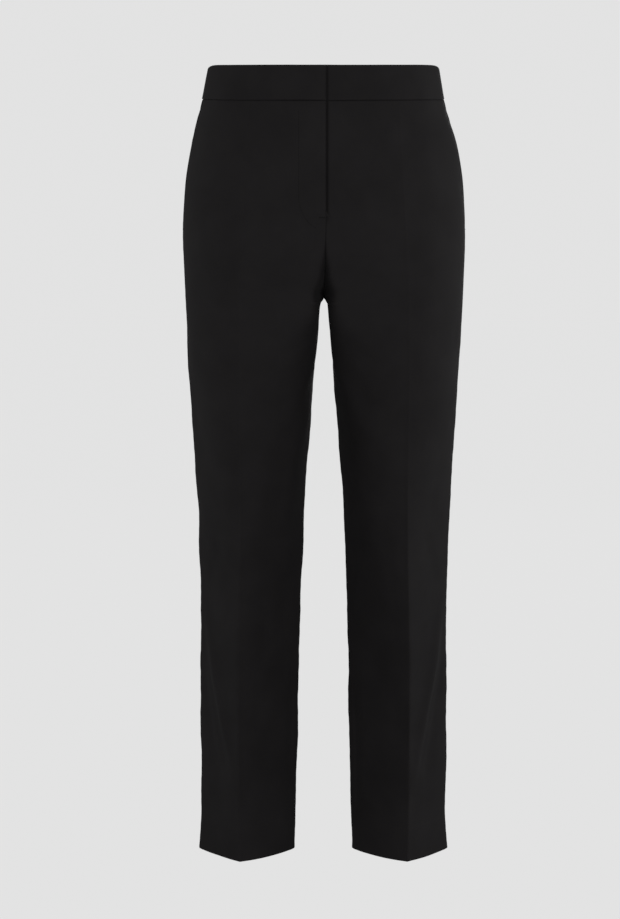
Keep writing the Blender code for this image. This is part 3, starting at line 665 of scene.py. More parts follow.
def leg_panel(name, side, back, inner_edge, outer_edge, inner_seam, outer_seam, sink):
    """A front or back leg. inner_edge and outer_edge give the turns of its edges at a height,
    inner_seam and outer_seam the heights at them, and sink how far it lies under another."""
    rows = panel_rows()
    crease = 3.0 if back else 1.0
    inner_arc = np.array([read_form(FORM_ARC, inner_edge(b), b) for b in rows])
    outer_arc = np.array([read_form(FORM_ARC, outer_edge(b), b) for b in rows])
    crease_arc = read_form(FORM_ARC, crease, rows)
    direction = -1 if back else 1
    innermost = np.maximum(read_form(FORM_X, 0.0, rows), 0.0)
    reach = FLY_CORNER + (CORNER - FLY_CORNER) * eased((rows - FLY_END) / FLY_CORNER_FADE)
    corner_turn = [turn_at_x(x, b, back) for x, b in zip(innermost + reach, rows)]
    corner_arc = read_form(FORM_ARC, corner_turn, rows)
    width, corner = (crease_arc - inner_arc) * direction, (corner_arc - inner_arc) * direction
    inner_half = inner_columns(width, np.maximum(corner, EDGE_COLUMNS[-1] + 1))
    outer_half = outer_columns((outer_arc - crease_arc) * direction)
    whole = (outer_arc - inner_arc)[:, None] * direction
    from_inner = np.concatenate([inner_half, whole - outer_half[:, -2::-1]], axis=1)
    arc = inner_arc[:, None] + direction * from_inner
    turn = np.array([turn_at_arc(a, b) for a, b in zip(arc, rows)])
    below = np.broadcast_to(rows[:, None], turn.shape)
    from_outer = (outer_arc[:, None] - arc) * direction
    from_crease = np.abs(arc - crease_arc[:, None])

    thickness = np.where(below > HEM_TOP, 2 * CLOTH, CLOTH)
    across = from_crease / np.minimum(from_crease + from_inner, from_crease + from_outer)
    ridge = crease_height(from_crease, across, below)
    if back:
        dart = dart_height(from_crease, below)
        ridge = ridge * eased((below - CREASE_STARTS) / DART_LENGTH) + dart
    hem_print = HEM_PRINT * eased((below - HEM_TOP + PRINT_EDGE / 2) / PRINT_EDGE)
    outside, inside = with_edges(
        ridge + hem_print,
        ridge - thickness,
        inner_seam(from_inner, below),
        outer_seam(from_outer, below),
        seam_edge(below - WAIST_SEAM, arc, WAIST_ROLL, WAIST_ROLL_WIDTH),
        free_edge(LENGTH - below, 2 * CLOTH),
    )
    drop = sink(turn, below)
    from_middle = np.where(below < CROTCH, from_inner, np.inf)
    seam_depth = np.abs(read_form(FORM_Y, turn[:, :1], below[:, :1]))
    moved = cleft(side, turn, below, seam_depth)
    outer = on_garment(side, turn, below, outside - drop, from_middle, *moved)
    inner = on_garment(side, turn, below, inside - drop, from_middle, *moved)
    return suiting_piece(name, outer, inner, side * (arc - crease_arc[:, None]), -below)


def inseam_turn(below, back=False):
    """Where a leg's inner edge lies: at the inseam, and above the crotch at the centre seam,
    which curves in under the body."""
    if below >= CROTCH:
        return 4.0 if back else 0.0
    cut = turn_at_x(0.0, below, back)
    if below <= FORK_TOP:
        return cut
    share = (below - FORK_TOP) / (CROTCH - FORK_TOP)
    deep = abs(read_form(FORM_Y, cut, below)) * (1 - share**FORK_ROUND) ** (1 / FORK_DEEP)
    turns = TURNS[TURNS >= cut] if back else TURNS[TURNS <= cut]
    depths = np.abs(read_form(FORM_Y, turns, below))
    return np.interp(-deep, -depths, turns) if back else np.interp(deep, depths, turns)


def left_centre_turn(below):
    """The left front's inner edge, which runs on under the right one down to the fly's end."""
    if below > FLY_END:
        return inseam_turn(below)
    reach = FLY_REACH * (1 - eased((below - FLY_END + LAP_RELEASE) / LAP_RELEASE))
    return turn_at_x(-reach, below)


def pocket_slant(below):
    """How far in front of the side seam the pocket mouth lies."""
    return POCKET_SLANT * max(0.0, 1 - (below - WAIST_SEAM) / POCKET_LENGTH)


def pocket_turn(below):
    """A front's outer edge: the slanted pocket mouth, then the side seam."""
    return turn_at_arc(read_form(FORM_ARC, 2.0, below) - pocket_slant(below), below)


def pocket_seam(distance, below):
    """The pocket mouth's folded edge, which gapes a little, and the side seam under it."""
    mouth = 1 - eased((below - WAIST_SEAM - POCKET_LENGTH + MOUTH_BEFORE) / MOUTH_FADE)
    share = np.clip((below - WAIST_SEAM) / POCKET_LENGTH, 0, 1)
    gape = POCKET_GAPE * np.sin(math.pi * share) ** 1.5 * np.exp(-((distance / GAPE_WIDTH) ** 2))
    fold = free_edge(distance, CLOTH)
    seam = seam_edge(distance, below)
    return tuple(mouth * (f + gape) + (1 - mouth) * s for f, s in zip(fold, seam))


def centre_seam(distance, below):
    """The fly's folded edge on the right front, and the centre front seam under it."""
    fly = 1 - eased((below - FLY_END + MOUTH_BEFORE) / MOUTH_FADE)
    fold = free_edge(distance, CLOTH)
    roll = FLY_ROLL * round_edge(distance, FLY_ROLL_WIDTH)
    seam = seam_edge(distance, below)
    return tuple(fly * (f - roll) + (1 - fly) * s for f, s in zip(fold, seam))


def left_sink(turn, below):
    """How far the left front drops behind the right one, most of all beside its edge."""
    x = read_form(FORM_X, turn, below)
    across = FLY_LAYER * (1 - eased((x - LAP_FLAT) / EASE_WIDTH))
    ditch = FLY_DITCH * np.exp(-(((x - FLY_DITCH_X) / FLY_DITCH_WIDTH) ** 2))
    ditch = ditch * (1 - eased((below - FLY_END + DITCH_BEFORE) / LAP_RELEASE))
    return ditch + across * (1 - eased((below - FLY_END) / (2 * LAP_RELEASE)))


def no_sink(_turn, _below):
    """A panel that keeps to the garment's surface."""
    return 0.0


for panel, side, edge, sink in (
    ("front_right", -1, inseam_turn, no_sink),
    ("front_left", 1, left_centre_turn, left_sink),
):
    front = leg_panel(
        panel + "_cloth", side, False, edge, pocket_turn, centre_seam, pocket_seam, sink
    )

# ---------------------------------------------------------------------------------------------
# Back legs. The same suiting, cut wider and longer in the seat, with one waist dart each and a
# pressed crease. They meet at the centre back seam, and the fronts at the side and inside legs.
# ---------------------------------------------------------------------------------------------


def side_turn(_below):
    """A back's outer edge, at the side seam."""
    return 2.0


def back_inner_turn(below):
    """A back's inner edge, at the centre back seam or the inseam."""
    return inseam_turn(below, back=True)


for panel, side in (("back_right", -1), ("back_left", 1)):
    back = leg_panel(
        panel + "_cloth", side, True, back_inner_turn, side_turn, seam_edge, seam_edge, no_sink
    )

# ---------------------------------------------------------------------------------------------
# Pocket facings. A strip of the suiting behind each slanted pocket mouth, sewn in at the side.
# ---------------------------------------------------------------------------------------------

FACING_DEPTH = 2.4
POCKET_UNDERLAY = 26.0
FACING_RUN_ON = 12.0
FACING_COLUMNS = 22


def pocket_facing(name, side):
    """The strip that shows in a pocket mouth."""
    rows = panel_rows()
    rows = rows[rows < WAIST_SEAM + POCKET_LENGTH + FACING_RUN_ON]
    turns = []
    for below in rows:
        seam = read_form(FORM_ARC, 2.0, below)
        start = seam - pocket_slant(below) - POCKET_UNDERLAY
        turns.append(turn_at_arc(np.linspace(start, seam, FACING_COLUMNS), below))
    turn = np.array(turns)
    below = np.broadcast_to(rows[:, None], turn.shape)
    arc = read_form(FORM_ARC, turn, below)
    outer = on_garment(side, turn, below, -FACING_DEPTH)
    inner = on_garment(side, turn, below, -FACING_DEPTH - CLOTH)
    piece = suiting_piece(name, outer, inner, side * arc, -below)


pocket_facing("pocket_facing_right_cloth", -1)
pocket_facing("pocket_facing_left_cloth", 1)

# ---------------------------------------------------------------------------------------------
# Waistband. Two halves of the suiting, stiffened inside and joined at the centre back. The
# right one ends at the middle, and the left one runs on 38 mm under it.
# ---------------------------------------------------------------------------------------------

BAND = 2.0
BAND_LIFT = 0.8
SIDE_DIP, SIDE_DIP_WIDTH = 5.0, 24.0

# The lap in front: the right half stands off further and is tucked in at its end, and the left
# one sinks under it, with a ditch beside that end.
OVERLAP_LIFT, OVERLAP_TUCK, TUCK_WIDTH, OVERLAP_FADE = 0.8, 1.2, 10.0, 8.0
UNDERLAP_REACH, UNDERLAP_SINK, UNDERLAP_FLAT = 38.0, 3.8, -6.0
BAND_DITCH = 1.8
BAND_DITCH_COLUMNS = np.arange(-2.4, 4.9, 0.4)

# Where its columns stop standing straight down, how far apart they are, and its rows.
BAND_X_FREE, BAND_X_HELD = 74.0, 88.0
BAND_COLUMN_STEP = 2.6
BAND_ROWS = (0.0, 0.1, 0.3, 0.7, 1.3, 2.2, 3.6, 5.6, 8.5, 12, 16, 20.5, 25, 29, 32.5, 35.4, 37.4,
             38.8, 39.7, 40.3, 40.65, 40.9, 41.0)
BAND_EDGE = 1.0


def band_lift(side, x):
    """How far the waistband's outside stands off the garment, x from the middle in front."""
    if side < 0:
        tuck = OVERLAP_TUCK * (1 - eased(x / TUCK_WIDTH))
        return BAND_LIFT + OVERLAP_LIFT * (1 - eased((x - UNDERLAP_REACH) / EASE_WIDTH)) - tuck
    ditch = BAND_DITCH * np.exp(-(((x - FLY_DITCH_X) / FLY_DITCH_WIDTH) ** 2))
    return BAND_LIFT - UNDERLAP_SINK * (1 - eased((x - UNDERLAP_FLAT) / EASE_WIDTH)) - ditch


def waistband(name, side):
    """Half of the waistband, from its front end round to the centre back seam."""
    middle = BAND_HEIGHT / 2
    start = turn_at_x(0.0 if side < 0 else -UNDERLAP_REACH, middle)
    end = turn_at_x(0.0, middle, back=True)
    first, last = (read_form(FORM_ARC, t, middle) for t in (start, end))
    ends = np.array(EDGE_COLUMNS)
    count = round((last - first - 2 * ends[-1]) / BAND_COLUMN_STEP)
    even = np.linspace(first + ends[-1], last - ends[-1], count)[1:-1]
    if side > 0:
        lap = first + UNDERLAP_REACH + BAND_DITCH_COLUMNS
        even = np.sort(np.concatenate([even[(even < lap[0] - 1) | (even > lap[-1] + 1)], lap]))
    arcs = np.concatenate([first + ends, even, (last - ends)[::-1]])
    home = turn_at_arc(arcs, middle)
    home_x = read_form(FORM_X, home, middle)
    top_depth = read_form(FORM_Y, home, 0.0)
    top = SIDE_DIP * np.exp(-((top_depth / SIDE_DIP_WIDTH) ** 2))
    rows = np.array(BAND_ROWS)
    below = top[None] + (BAND_HEIGHT - top)[None] * rows[:, None] / BAND_HEIGHT
    turn = np.empty(below.shape)
    for j, (t, x) in enumerate(zip(home, home_x)):
        # In front and behind a column stands straight down, and at the sides it keeps its turn.
        upright = 1 - eased((x - BAND_X_FREE) / (BAND_X_HELD - BAND_X_FREE))
        for i in range(len(rows)):
            straight = turn_at_x(x, below[i, j], back=t > 2)
            turn[i, j] = upright * straight + (1 - upright) * t
    lift = np.where(home < 2, band_lift(side, home_x), BAND_LIFT)[None] + 0 * below
    from_top = below - top[None]
    from_start, from_end = (arcs - first)[None], (last - arcs)[None]
    # Beside the underlap the overlap is lifted, and its inside still reaches down to the front.
    reach = eased((home_x - UNDERLAP_REACH + OVERLAP_FADE) / OVERLAP_FADE)[None]
    outside, inside = with_edges(
        lift - BAND_EDGE * round_edge(BAND_HEIGHT - below, BAND_EDGE),
        lift - BAND - np.maximum(lift - BAND_LIFT, 0) * reach,
        free_edge(from_top, BAND),
        free_edge(from_start, BAND),
        seam_edge(from_end, below),
    )
    from_middle = np.broadcast_to(from_end, below.shape)
    outer = on_garment(side, turn, below, outside, from_middle)
    inner = on_garment(side, turn, below, inside, from_middle)
    flat_v = np.broadcast_to(-rows[:, None], below.shape)
    flat_u = np.broadcast_to(side * (arcs - first)[None], below.shape)
    piece = suiting_piece(name, outer, inner, flat_v, flat_u)


waistband("waistband_right_cloth", -1)
waistband("waistband_left_cloth", 1)

# ---------------------------------------------------------------------------------------------
# Fly shield. A flap of the suiting behind the zip. Its top is caught in the waistband, its left
# edge in the fly's seam, and its free edge is folded and curves in at the lower end.
# ---------------------------------------------------------------------------------------------

SHIELD_TOP, SHIELD_END = 43.0, 184.0
SHIELD_EDGE, SHIELD_WIDTH, SHIELD_DEPTH = 8.0, 40.0, 5.4
SHIELD_CURVE, SHIELD_CURVE_RUN = 0.62, 30.0
SHIELD_ROWS, SHIELD_COLUMNS, SHIELD_CLOSE = 72, 30, 1.6


def at_fly(x, below, lift):
    """Points x to the wearer's left of the middle in front, on or behind the garment."""
    x, below, lift = np.broadcast_arrays(*(np.asarray(v, float) for v in (x, below, lift)))
    places = zip(np.abs(x).ravel(), below.ravel())
    turn = np.array([turn_at_x(reach, b) for reach, b in places]).reshape(x.shape)
    left, right = (on_garment(side, turn, below, lift) for side in (1, -1))
    return np.where((x < 0)[..., None], right, left)


def fly_shield():
    """The flap, as a grid from its sewn edge to its free one."""
    rows = np.linspace(SHIELD_TOP, SHIELD_END, SHIELD_ROWS)
    curve = eased((rows - SHIELD_END + SHIELD_CURVE_RUN) / SHIELD_CURVE_RUN)
    width = (SHIELD_WIDTH * (1 - SHIELD_CURVE * curve))[:, None]
    share = 1 - (1 - np.linspace(0, 1, SHIELD_COLUMNS)) ** SHIELD_CLOSE
    across, below = width * share[None], np.broadcast_to(rows[:, None], (len(rows), len(share)))
    out, back_side = free_edge(np.minimum(width - across, SHIELD_END - below), CLOTH)
    outer = at_fly(SHIELD_EDGE - across, below, out - SHIELD_DEPTH)
    inner = at_fly(SHIELD_EDGE - across, below, back_side - SHIELD_DEPTH - CLOTH)
    piece = suiting_piece("fly_shield_cloth", outer, inner, across, -below)


fly_shield()

# ---------------------------------------------------------------------------------------------
# Zip. Two woven polyester tapes, each with a nylon coil sewn to its edge, and the two coils
# meshed. The tapes are stitched to the fronts behind the fly and end just above its lower end.
# ---------------------------------------------------------------------------------------------

ZIP_X, ZIP_TOP, CHAIN_TOP, CHAIN_END = -13.5, 44.0, 58.0, 172.0
TAPE, TAPE_HALF, TAPE_DEPTH, TAPE_SLIT = 0.7, 12.0, 4.25, 0.35
TAPE_ROWS, TAPE_COLUMNS = 62, 12

# Above TAPES_PART the two tapes' inner edges draw apart, by TAPES_APART each at TAPES_FREE.
TAPES_APART, TAPES_PART, TAPES_FREE = 1.6, 54.0, 44.0

# A tooth's middle lies COIL_MIDDLE from the slit's, and the teeth end COIL_STOP above the tapes.
COIL_PITCH, COIL_REACH, COIL_THICK, COIL_HIGH = 1.15, 2.5, 0.62, 1.2
COIL_MIDDLE, COIL_STOP = 0.75, 2.0


def woven_zip_tape():
    """Black polyester tape in a herringbone weave, so it has fine ribs and a soft sheen."""
    finish = [("Roughness", 0.7), ("Sheen Weight", 0.05)]
    material, tree, surface = new_material("woven_polyester_tape", finish)
    cut = add_node(tree, "ShaderNodeUVMap", [("uv_map", "cut")]).outputs["UV"]

    # Herringbone rows are 1.5 mm wide, and their ribs 0.6 mm apart.
    rows = add_node(
        tree, "ShaderNodeTexWave", [("bands_direction", "X"), ("wave_profile", "TRI")],
        [("Scale", 209.0)], [("Vector", cut)],
    )
    slant = add_node(
        tree, "ShaderNodeVectorMath", [("operation", "MULTIPLY_ADD")],
        [(1, (0.0, 0.0007, 0.0))], [(0, rows.outputs["Color"]), (2, cut)],
    )
    ribs = add_node(
        tree, "ShaderNodeTexWave", [("bands_direction", "Y")],
        [("Scale", 520.0), ("Distortion", 0.4)], [("Vector", slant.outputs["Vector"])],
    )
    shades = add_node(tree, "ShaderNodeValToRGB", (), (), [("Fac", ribs.outputs["Fac"])])
    shades.color_ramp.elements[0].color = linear("#19191b")
    shades.color_ramp.elements[1].color = linear("#242426")
    tree.links.new(shades.outputs["Color"], surface.inputs["Base Color"])
    bump = add_node(
        tree, "ShaderNodeBump", (), [("Strength", 0.6), ("Distance", 0.00015)],
        [("Height", ribs.outputs["Fac"])],
    )
    tree.links.new(bump.outputs["Normal"], surface.inputs["Normal"])
    return material


def drawn_nylon():
    """Black nylon, drawn and set into a coil: smooth, with a low gloss."""
    material, tree, surface = new_material("drawn_nylon", [("Roughness", 0.38), ("IOR", 1.53)])
    place = add_node(tree, "ShaderNodeTexCoord").outputs["Object"]
    cloud = add_node(
        tree, "ShaderNodeTexNoise", (), [("Scale", 900.0), ("Detail", 2.0)], [("Vector", place)]
    )
    shades = add_node(tree, "ShaderNodeValToRGB", (), (), [("Fac", cloud.outputs["Fac"])])
    shades.color_ramp.elements[0].color = linear("#161617")
    shades.color_ramp.elements[1].color = linear("#232325")
    tree.links.new(shades.outputs["Color"], surface.inputs["Base Color"])
    return material


def merged(name, pieces):
    """Several pieces as one."""
    together = bmesh.new()
    together.loops.layers.uv.new("cut")
    for piece in pieces:
        together.from_mesh(piece.data)
    mesh = bpy.data.meshes.new(name)
    together.to_mesh(mesh)
    together.free()
    mesh.materials.append(pieces[0].data.materials[0])
    for piece in pieces:
        bpy.data.objects.remove(piece, do_unlink=True)
    return add_object(name, mesh)


def zip_tape(name, way):
    """One tape, from the slit between the two coils outwards."""
    rows = np.linspace(ZIP_TOP, CHAIN_END, TAPE_ROWS)
    across = np.linspace(TAPE_SLIT, TAPE_HALF, TAPE_COLUMNS)
    apart = TAPES_APART * eased((TAPES_PART - rows) / (TAPES_PART - TAPES_FREE))
    x = ZIP_X + way * np.maximum(across[None], (TAPE_SLIT + apart)[:, None])
    below = np.broadcast_to(rows[:, None], x.shape)
    outer = at_fly(x, below, -TAPE_DEPTH)
    inner = at_fly(x, below, -TAPE_DEPTH - TAPE)
    return closed_shell(name, outer, inner, x, -below, ZIP_WEAVE)


def shape_row_tree(name, shape, settings):
    """Geometry Nodes that set one small shape on every point, turned by the point's own
    directions: its length lies along one, and its height stands out along the other."""
    tree = bpy.data.node_groups.new(name, "GeometryNodeTree")
    tree.interface.new_socket("Geometry", in_out="INPUT", socket_type="NodeSocketGeometry")
    for size in ("Length", "Width", "Height"):
        tree.interface.new_socket(size, in_out="INPUT", socket_type="NodeSocketFloat")
    tree.interface.new_socket("Stuff", in_out="INPUT", socket_type="NodeSocketMaterial")
    tree.interface.new_socket("Geometry", in_out="OUTPUT", socket_type="NodeSocketGeometry")
    given = add_node(tree, "NodeGroupInput").outputs
    made = add_node(tree, shape, (), settings).outputs["Mesh"]
    size = add_node(
        tree, "ShaderNodeCombineXYZ", (), (),
        [("X", given["Length"]), ("Y", given["Width"]), ("Z", given["Height"])],
    ).outputs["Vector"]
    ways = []
    for way in ("outward", "along"):
        read = add_node(
            tree, "GeometryNodeInputNamedAttribute", [("data_type", "FLOAT_VECTOR")],
            [("Name", way)],
        )
        ways.append(read.outputs["Attribute"])
    turned = add_node(
        tree, "FunctionNodeAxesToRotation", [("primary_axis", "Z"), ("secondary_axis", "X")], (),
        [("Primary Axis", ways[0]), ("Secondary Axis", ways[1])],
    ).outputs["Rotation"]
    placed = add_node(
        tree, "GeometryNodeInstanceOnPoints", (), (),
        [("Points", given["Geometry"]), ("Instance", made), ("Rotation", turned), ("Scale", size)],
    ).outputs["Instances"]
    real = add_node(
        tree, "GeometryNodeRealizeInstances", (), (), [("Geometry", placed)]
    ).outputs["Geometry"]
    done = add_node(
        tree, "GeometryNodeSetMaterial", (), (), [("Geometry", real), ("Material", given["Stuff"])]
    ).outputs["Geometry"]
    add_node(tree, "NodeGroupOutput", (), (), [("Geometry", done)])
    return tree


def shape_row(name, tree, centres, along, outward, sizes, material):
    """The shapes of one tree on these points, as a plain mesh. sizes are in millimetres."""
    mesh = bpy.data.meshes.new(name)
    mesh.from_pydata((centres * MM).tolist(), [], [])
    for way, values in (("along", along), ("outward", outward)):
        layer = mesh.attributes.new(way, "FLOAT_VECTOR", "POINT")
        layer.data.foreach_set("vector", values.ravel())
    row = add_object(name, mesh)
    modifier = row.modifiers.new("row", "NODES")
    modifier.node_group = tree
    given = dict(zip(("Length", "Width", "Height"), (size * MM for size in sizes)), Stuff=material)
    for socket in tree.interface.items_tree:
        if socket.in_out == "INPUT" and socket.name in given:
            modifier[socket.identifier] = given[socket.name]
    ready = row.evaluated_get(bpy.context.evaluated_depsgraph_get())
    made = bpy.data.meshes.new_from_object(ready)
    row.modifiers.clear()
    row.data = made
    for way in ("along", "outward"):
        if way in made.attributes:
            made.attributes.remove(made.attributes[way])
    return row


def unit(vectors):
    """The same directions, each of length 1."""
    return vectors / np.linalg.norm(vectors, axis=-1, keepdims=True)


ZIP_WEAVE, ZIP_NYLON = woven_zip_tape(), drawn_nylon()
zip_tapes = merged("zip_tape_cloth", [zip_tape("tape_right", -1), zip_tape("tape_left", 1)])
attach(zip_tapes, "root")
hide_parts("zip_tape")

# Each turn of a coil is one short tooth across the slit. The two coils' teeth take turns.
COIL_TREE = shape_row_tree(
    "coil_teeth", "GeometryNodeMeshUVSphere", [("Segments", 8), ("Rings", 5), ("Radius", 0.5)]
)
coil_rows = np.arange(CHAIN_TOP, CHAIN_END - COIL_STOP, COIL_PITCH / 2)
coil_way = np.where(np.arange(len(coil_rows)) % 2, 1.0, -1.0)
coil_depth = COIL_HIGH / 2 - TAPE_DEPTH
coil_places = at_fly(ZIP_X + COIL_MIDDLE * coil_way, coil_rows, coil_depth)
coil_right, coil_left = (at_fly(ZIP_X + x, coil_rows, coil_depth) for x in (-2.0, 2.0))
coil_along = unit(coil_left - coil_right)
coil_out = unit(at_fly(ZIP_X, coil_rows, coil_depth + 1) - at_fly(ZIP_X, coil_rows, coil_depth))
zip_coil = shape_row(
    "zip_coil", COIL_TREE, coil_places, coil_along, coil_out,
    (COIL_REACH, COIL_THICK, COIL_HIGH), ZIP_NYLON,
)
zip_coil.data.shade_smooth()
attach(zip_coil, "root")

# ---------------------------------------------------------------------------------------------
# Zip slider and its pull tab. Pressed zinc plates with rounded corners, plated dull nickel. The
# slider has two plates on a post, a loop on its front, and the tab hangs from the loop.
# ---------------------------------------------------------------------------------------------

SLIDER_WIDE, SLIDER_NARROW, SLIDER_CORNER = 4.2, 3.1, 1.6
SLIDER_TOP, SLIDER_SHOULDER, SLIDER_FOOT = 47.0, 51.5, 57.0
SLIDER_FRONT, SLIDER_BACK, SLIDER_PLATE = -2.4, -3.9, 0.42
PULL_TOP, PULL_EYE, PULL_WAIST, PULL_FOOT = 50.0, 55.0, 60.0, 68.0
PULL_HALF, PULL_NARROW, PULL_CORNER, PULL_RIM = 2.6, 2.0, 1.4, 1.4
PULL_FRONT, PULL_BACK = -1.5, -2.1
PULL_BAR, PULL_BAR_INSET, PULL_THINNER = 1.5, 0.4, 0.03
FITTING_BEVEL, RUN_IN, PLATE_SHARP_FROM = 0.12, 0.05, 40


def dull_nickel():
    """Nickel plate over pressed metal: bright grey, with fine rubbed scratches that dull it."""
    material, tree, surface = new_material("dull_nickel_plate", [("Metallic", 1.0)])
    place = add_node(tree, "ShaderNodeTexCoord").outputs["Object"]

    # Scratches are 0.1 mm apart across the metal and 20 times as long.
    room = add_node(
        tree, "ShaderNodeMapping", (), [("Scale", (9000.0, 9000.0, 450.0))], [("Vector", place)]
    )
    scratches = add_node(
        tree, "ShaderNodeTexNoise", (), [("Scale", 1.0), ("Detail", 3.0)],
        [("Vector", room.outputs["Vector"])],
    )
    handled = add_node(
        tree, "ShaderNodeTexNoise", (), [("Scale", 260.0), ("Detail", 2.0)], [("Vector", place)]
    )
    shades = add_node(tree, "ShaderNodeValToRGB", (), (), [("Fac", handled.outputs["Fac"])])
    shades.color_ramp.elements[0].color = linear("#9a9a9c")
    shades.color_ramp.elements[1].color = linear("#b4b3b2")
    tree.links.new(shades.outputs["Color"], surface.inputs["Base Color"])
    rough = add_node(
        tree, "ShaderNodeMapRange", (), [("To Min", 0.26), ("To Max", 0.46)],
        [("Value", scratches.outputs["Fac"])],
    )
    tree.links.new(rough.outputs["Result"], surface.inputs["Roughness"])
    bump = add_node(
        tree, "ShaderNodeBump", (), [("Strength", 0.25), ("Distance", 0.00002)],
        [("Height", scratches.outputs["Fac"])],
    )
    tree.links.new(bump.outputs["Normal"], surface.inputs["Normal"])
    return material


NICKEL = dull_nickel()


def rounded(corners, radius, steps=4):
    """An outline with its corners rounded, each over less than half of its two sides. corners
    are (x, below) in turn."""
    outline = []
    for k, corner in enumerate(corners):
        here = np.array(corner, float)
        before, after = (np.array(corners[(k + way) % len(corners)]) - here for way in (-1, 1))
        reach = min(radius, np.linalg.norm(before) / 2.01, np.linalg.norm(after) / 2.01)
        start, end = here + unit(before) * reach, here + unit(after) * reach
        for t in np.linspace(0, 1, steps + 1):
            outline.append((1 - t) ** 2 * start + 2 * t * (1 - t) * here + t**2 * end)
    return np.array(outline)


def add_plate(metal, outline, front, back):
    """A flat plate with rounded rims, between two lifts."""
    corners = [metal.verts.new((x, below, front)) for x, below in outline]
    face = metal.faces.new(corners)
    pushed = bmesh.ops.extrude_face_region(metal, geom=[face])["geom"]
    for vertex in pushed:
        if isinstance(vertex, bmesh.types.BMVert):
            vertex.co.z = back
    rims = [e for e in metal.edges if abs(e.verts[0].co.z - e.verts[1].co.z) < 1e-6]
    bmesh.ops.bevel(
        metal, geom=rims, offset=FITTING_BEVEL, segments=2, profile=0.5, affect="EDGES",
        clamp_overlap=True,
    )


def metal_fitting(name, plates, node):
    """Plates joined as one fitting behind the fly. Each is (outline, front lift, back lift)."""
    whole = bmesh.new()
    for outline, front, back in plates:
        one = bmesh.new()
        add_plate(one, outline, front, back)
        bmesh.ops.recalc_face_normals(one, faces=one.faces)
        part = bpy.data.meshes.new("part")
        one.to_mesh(part)
        one.free()
        whole.from_mesh(part)
        bpy.data.meshes.remove(part)
    flat = np.array([v.co for v in whole.verts])
    places = at_fly(flat[:, 0], flat[:, 1], flat[:, 2]) * MM
    for vertex, place in zip(whole.verts, places):
        vertex.co = place
    bmesh.ops.recalc_face_normals(whole, faces=whole.faces)
    mesh = bpy.data.meshes.new(name)
    whole.to_mesh(mesh)
    whole.free()
    mesh.shade_smooth()
    mesh.set_sharp_from_angle(angle=math.radians(PLATE_SHARP_FROM))
    mesh.materials.append(NICKEL)
    piece = add_object(name, mesh)
    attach(piece, "root")
    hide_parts(node)


def slab(left, right, top, foot, radius):
    """A rounded oblong outline on the zip's line."""
    corners = [(left, top), (right, top), (right, foot), (left, foot)]
    return rounded([(ZIP_X + x, below) for x, below in corners], radius)


body = rounded(
    [
        (ZIP_X - SLIDER_WIDE, SLIDER_TOP), (ZIP_X + SLIDER_WIDE, SLIDER_TOP),
        (ZIP_X + SLIDER_WIDE, SLIDER_SHOULDER), (ZIP_X + SLIDER_NARROW, SLIDER_FOOT),
        (ZIP_X - SLIDER_NARROW, SLIDER_FOOT), (ZIP_X - SLIDER_WIDE, SLIDER_SHOULDER),
    ],
    SLIDER_CORNER,
)

# What joins the slider's two plates, and the loop on its front. Each block runs RUN_IN into its
# neighbour. Its sides are measured from the zip's middle line, and its lifts are front and back.
Block = namedtuple("Block", "left right top foot radius lifts")
front_inside, back_inside = SLIDER_FRONT - SLIDER_PLATE, SLIDER_BACK + SLIDER_PLATE
between_plates = front_inside + RUN_IN, back_inside - RUN_IN
on_front = -1.4, SLIDER_FRONT - RUN_IN
post = Block(-1.3, 1.3, 47.4, 50.4, 1.2, between_plates)
right_flange = Block(-3.05, -2.5, 53.0, 56.6, 0.2, between_plates)
left_flange = Block(2.5, 3.05, 53.0, 56.6, 0.2, between_plates)
upper_foot = Block(-0.7, 0.7, 48.2, 49.6, 0.5, on_front)
lower_foot = Block(-0.7, 0.7, 52.4, 54.2, 0.5, on_front)
bridge = Block(-0.7, 0.7, 48.2, 54.2, 0.6, (-1.1, -1.45))
slider_plates = [(body, SLIDER_FRONT, front_inside), (body, back_inside, SLIDER_BACK)]
for block in (post, right_flange, left_flange, upper_foot, lower_foot, bridge):
    slider_plates.append((slab(*block[:5]), *block.lifts))
metal_fitting("zip_slider_metal", slider_plates, "zip_slider")


def pull_tab():
    """The tab: a frame round the loop's hole at its top, and a waisted tongue below."""
    left, right, foot = -PULL_HALF, PULL_HALF, PULL_FOOT
    tongue = [
        (left, PULL_EYE), (right, PULL_EYE), (PULL_NARROW, PULL_WAIST), (right, foot - 3),
        (right, foot), (left, foot), (left, foot - 3), (-PULL_NARROW, PULL_WAIST),
    ]
    tongue = rounded([(ZIP_X + x, below) for x, below in tongue], PULL_CORNER)
    bar_left, bar_right = left + PULL_BAR_INSET, right - PULL_BAR_INSET
    bar = slab(bar_left, bar_right, PULL_TOP, PULL_TOP + PULL_BAR, 0.6)
    plates = [(tongue, PULL_FRONT, PULL_BACK), (bar, PULL_FRONT, PULL_BACK)]
    # The frame's sides are a little thinner, so that no two faces lie in one plane.
    for inner, outer in ((left, left + PULL_RIM), (right - PULL_RIM, right)):
        side = slab(inner, outer, PULL_TOP, PULL_EYE + 1, 0.5)
        plates.append((side, PULL_FRONT - PULL_THINNER, PULL_BACK + PULL_THINNER))
    metal_fitting("zip_pull_metal", plates, "zip_pull")


pull_tab()

# ---------------------------------------------------------------------------------------------
# Waist hook and bar. Stamped steel, plated dull nickel. The hook's prongs clench through the
# inside of the right band, and the bar is clenched at both ends on the left one.
# ---------------------------------------------------------------------------------------------

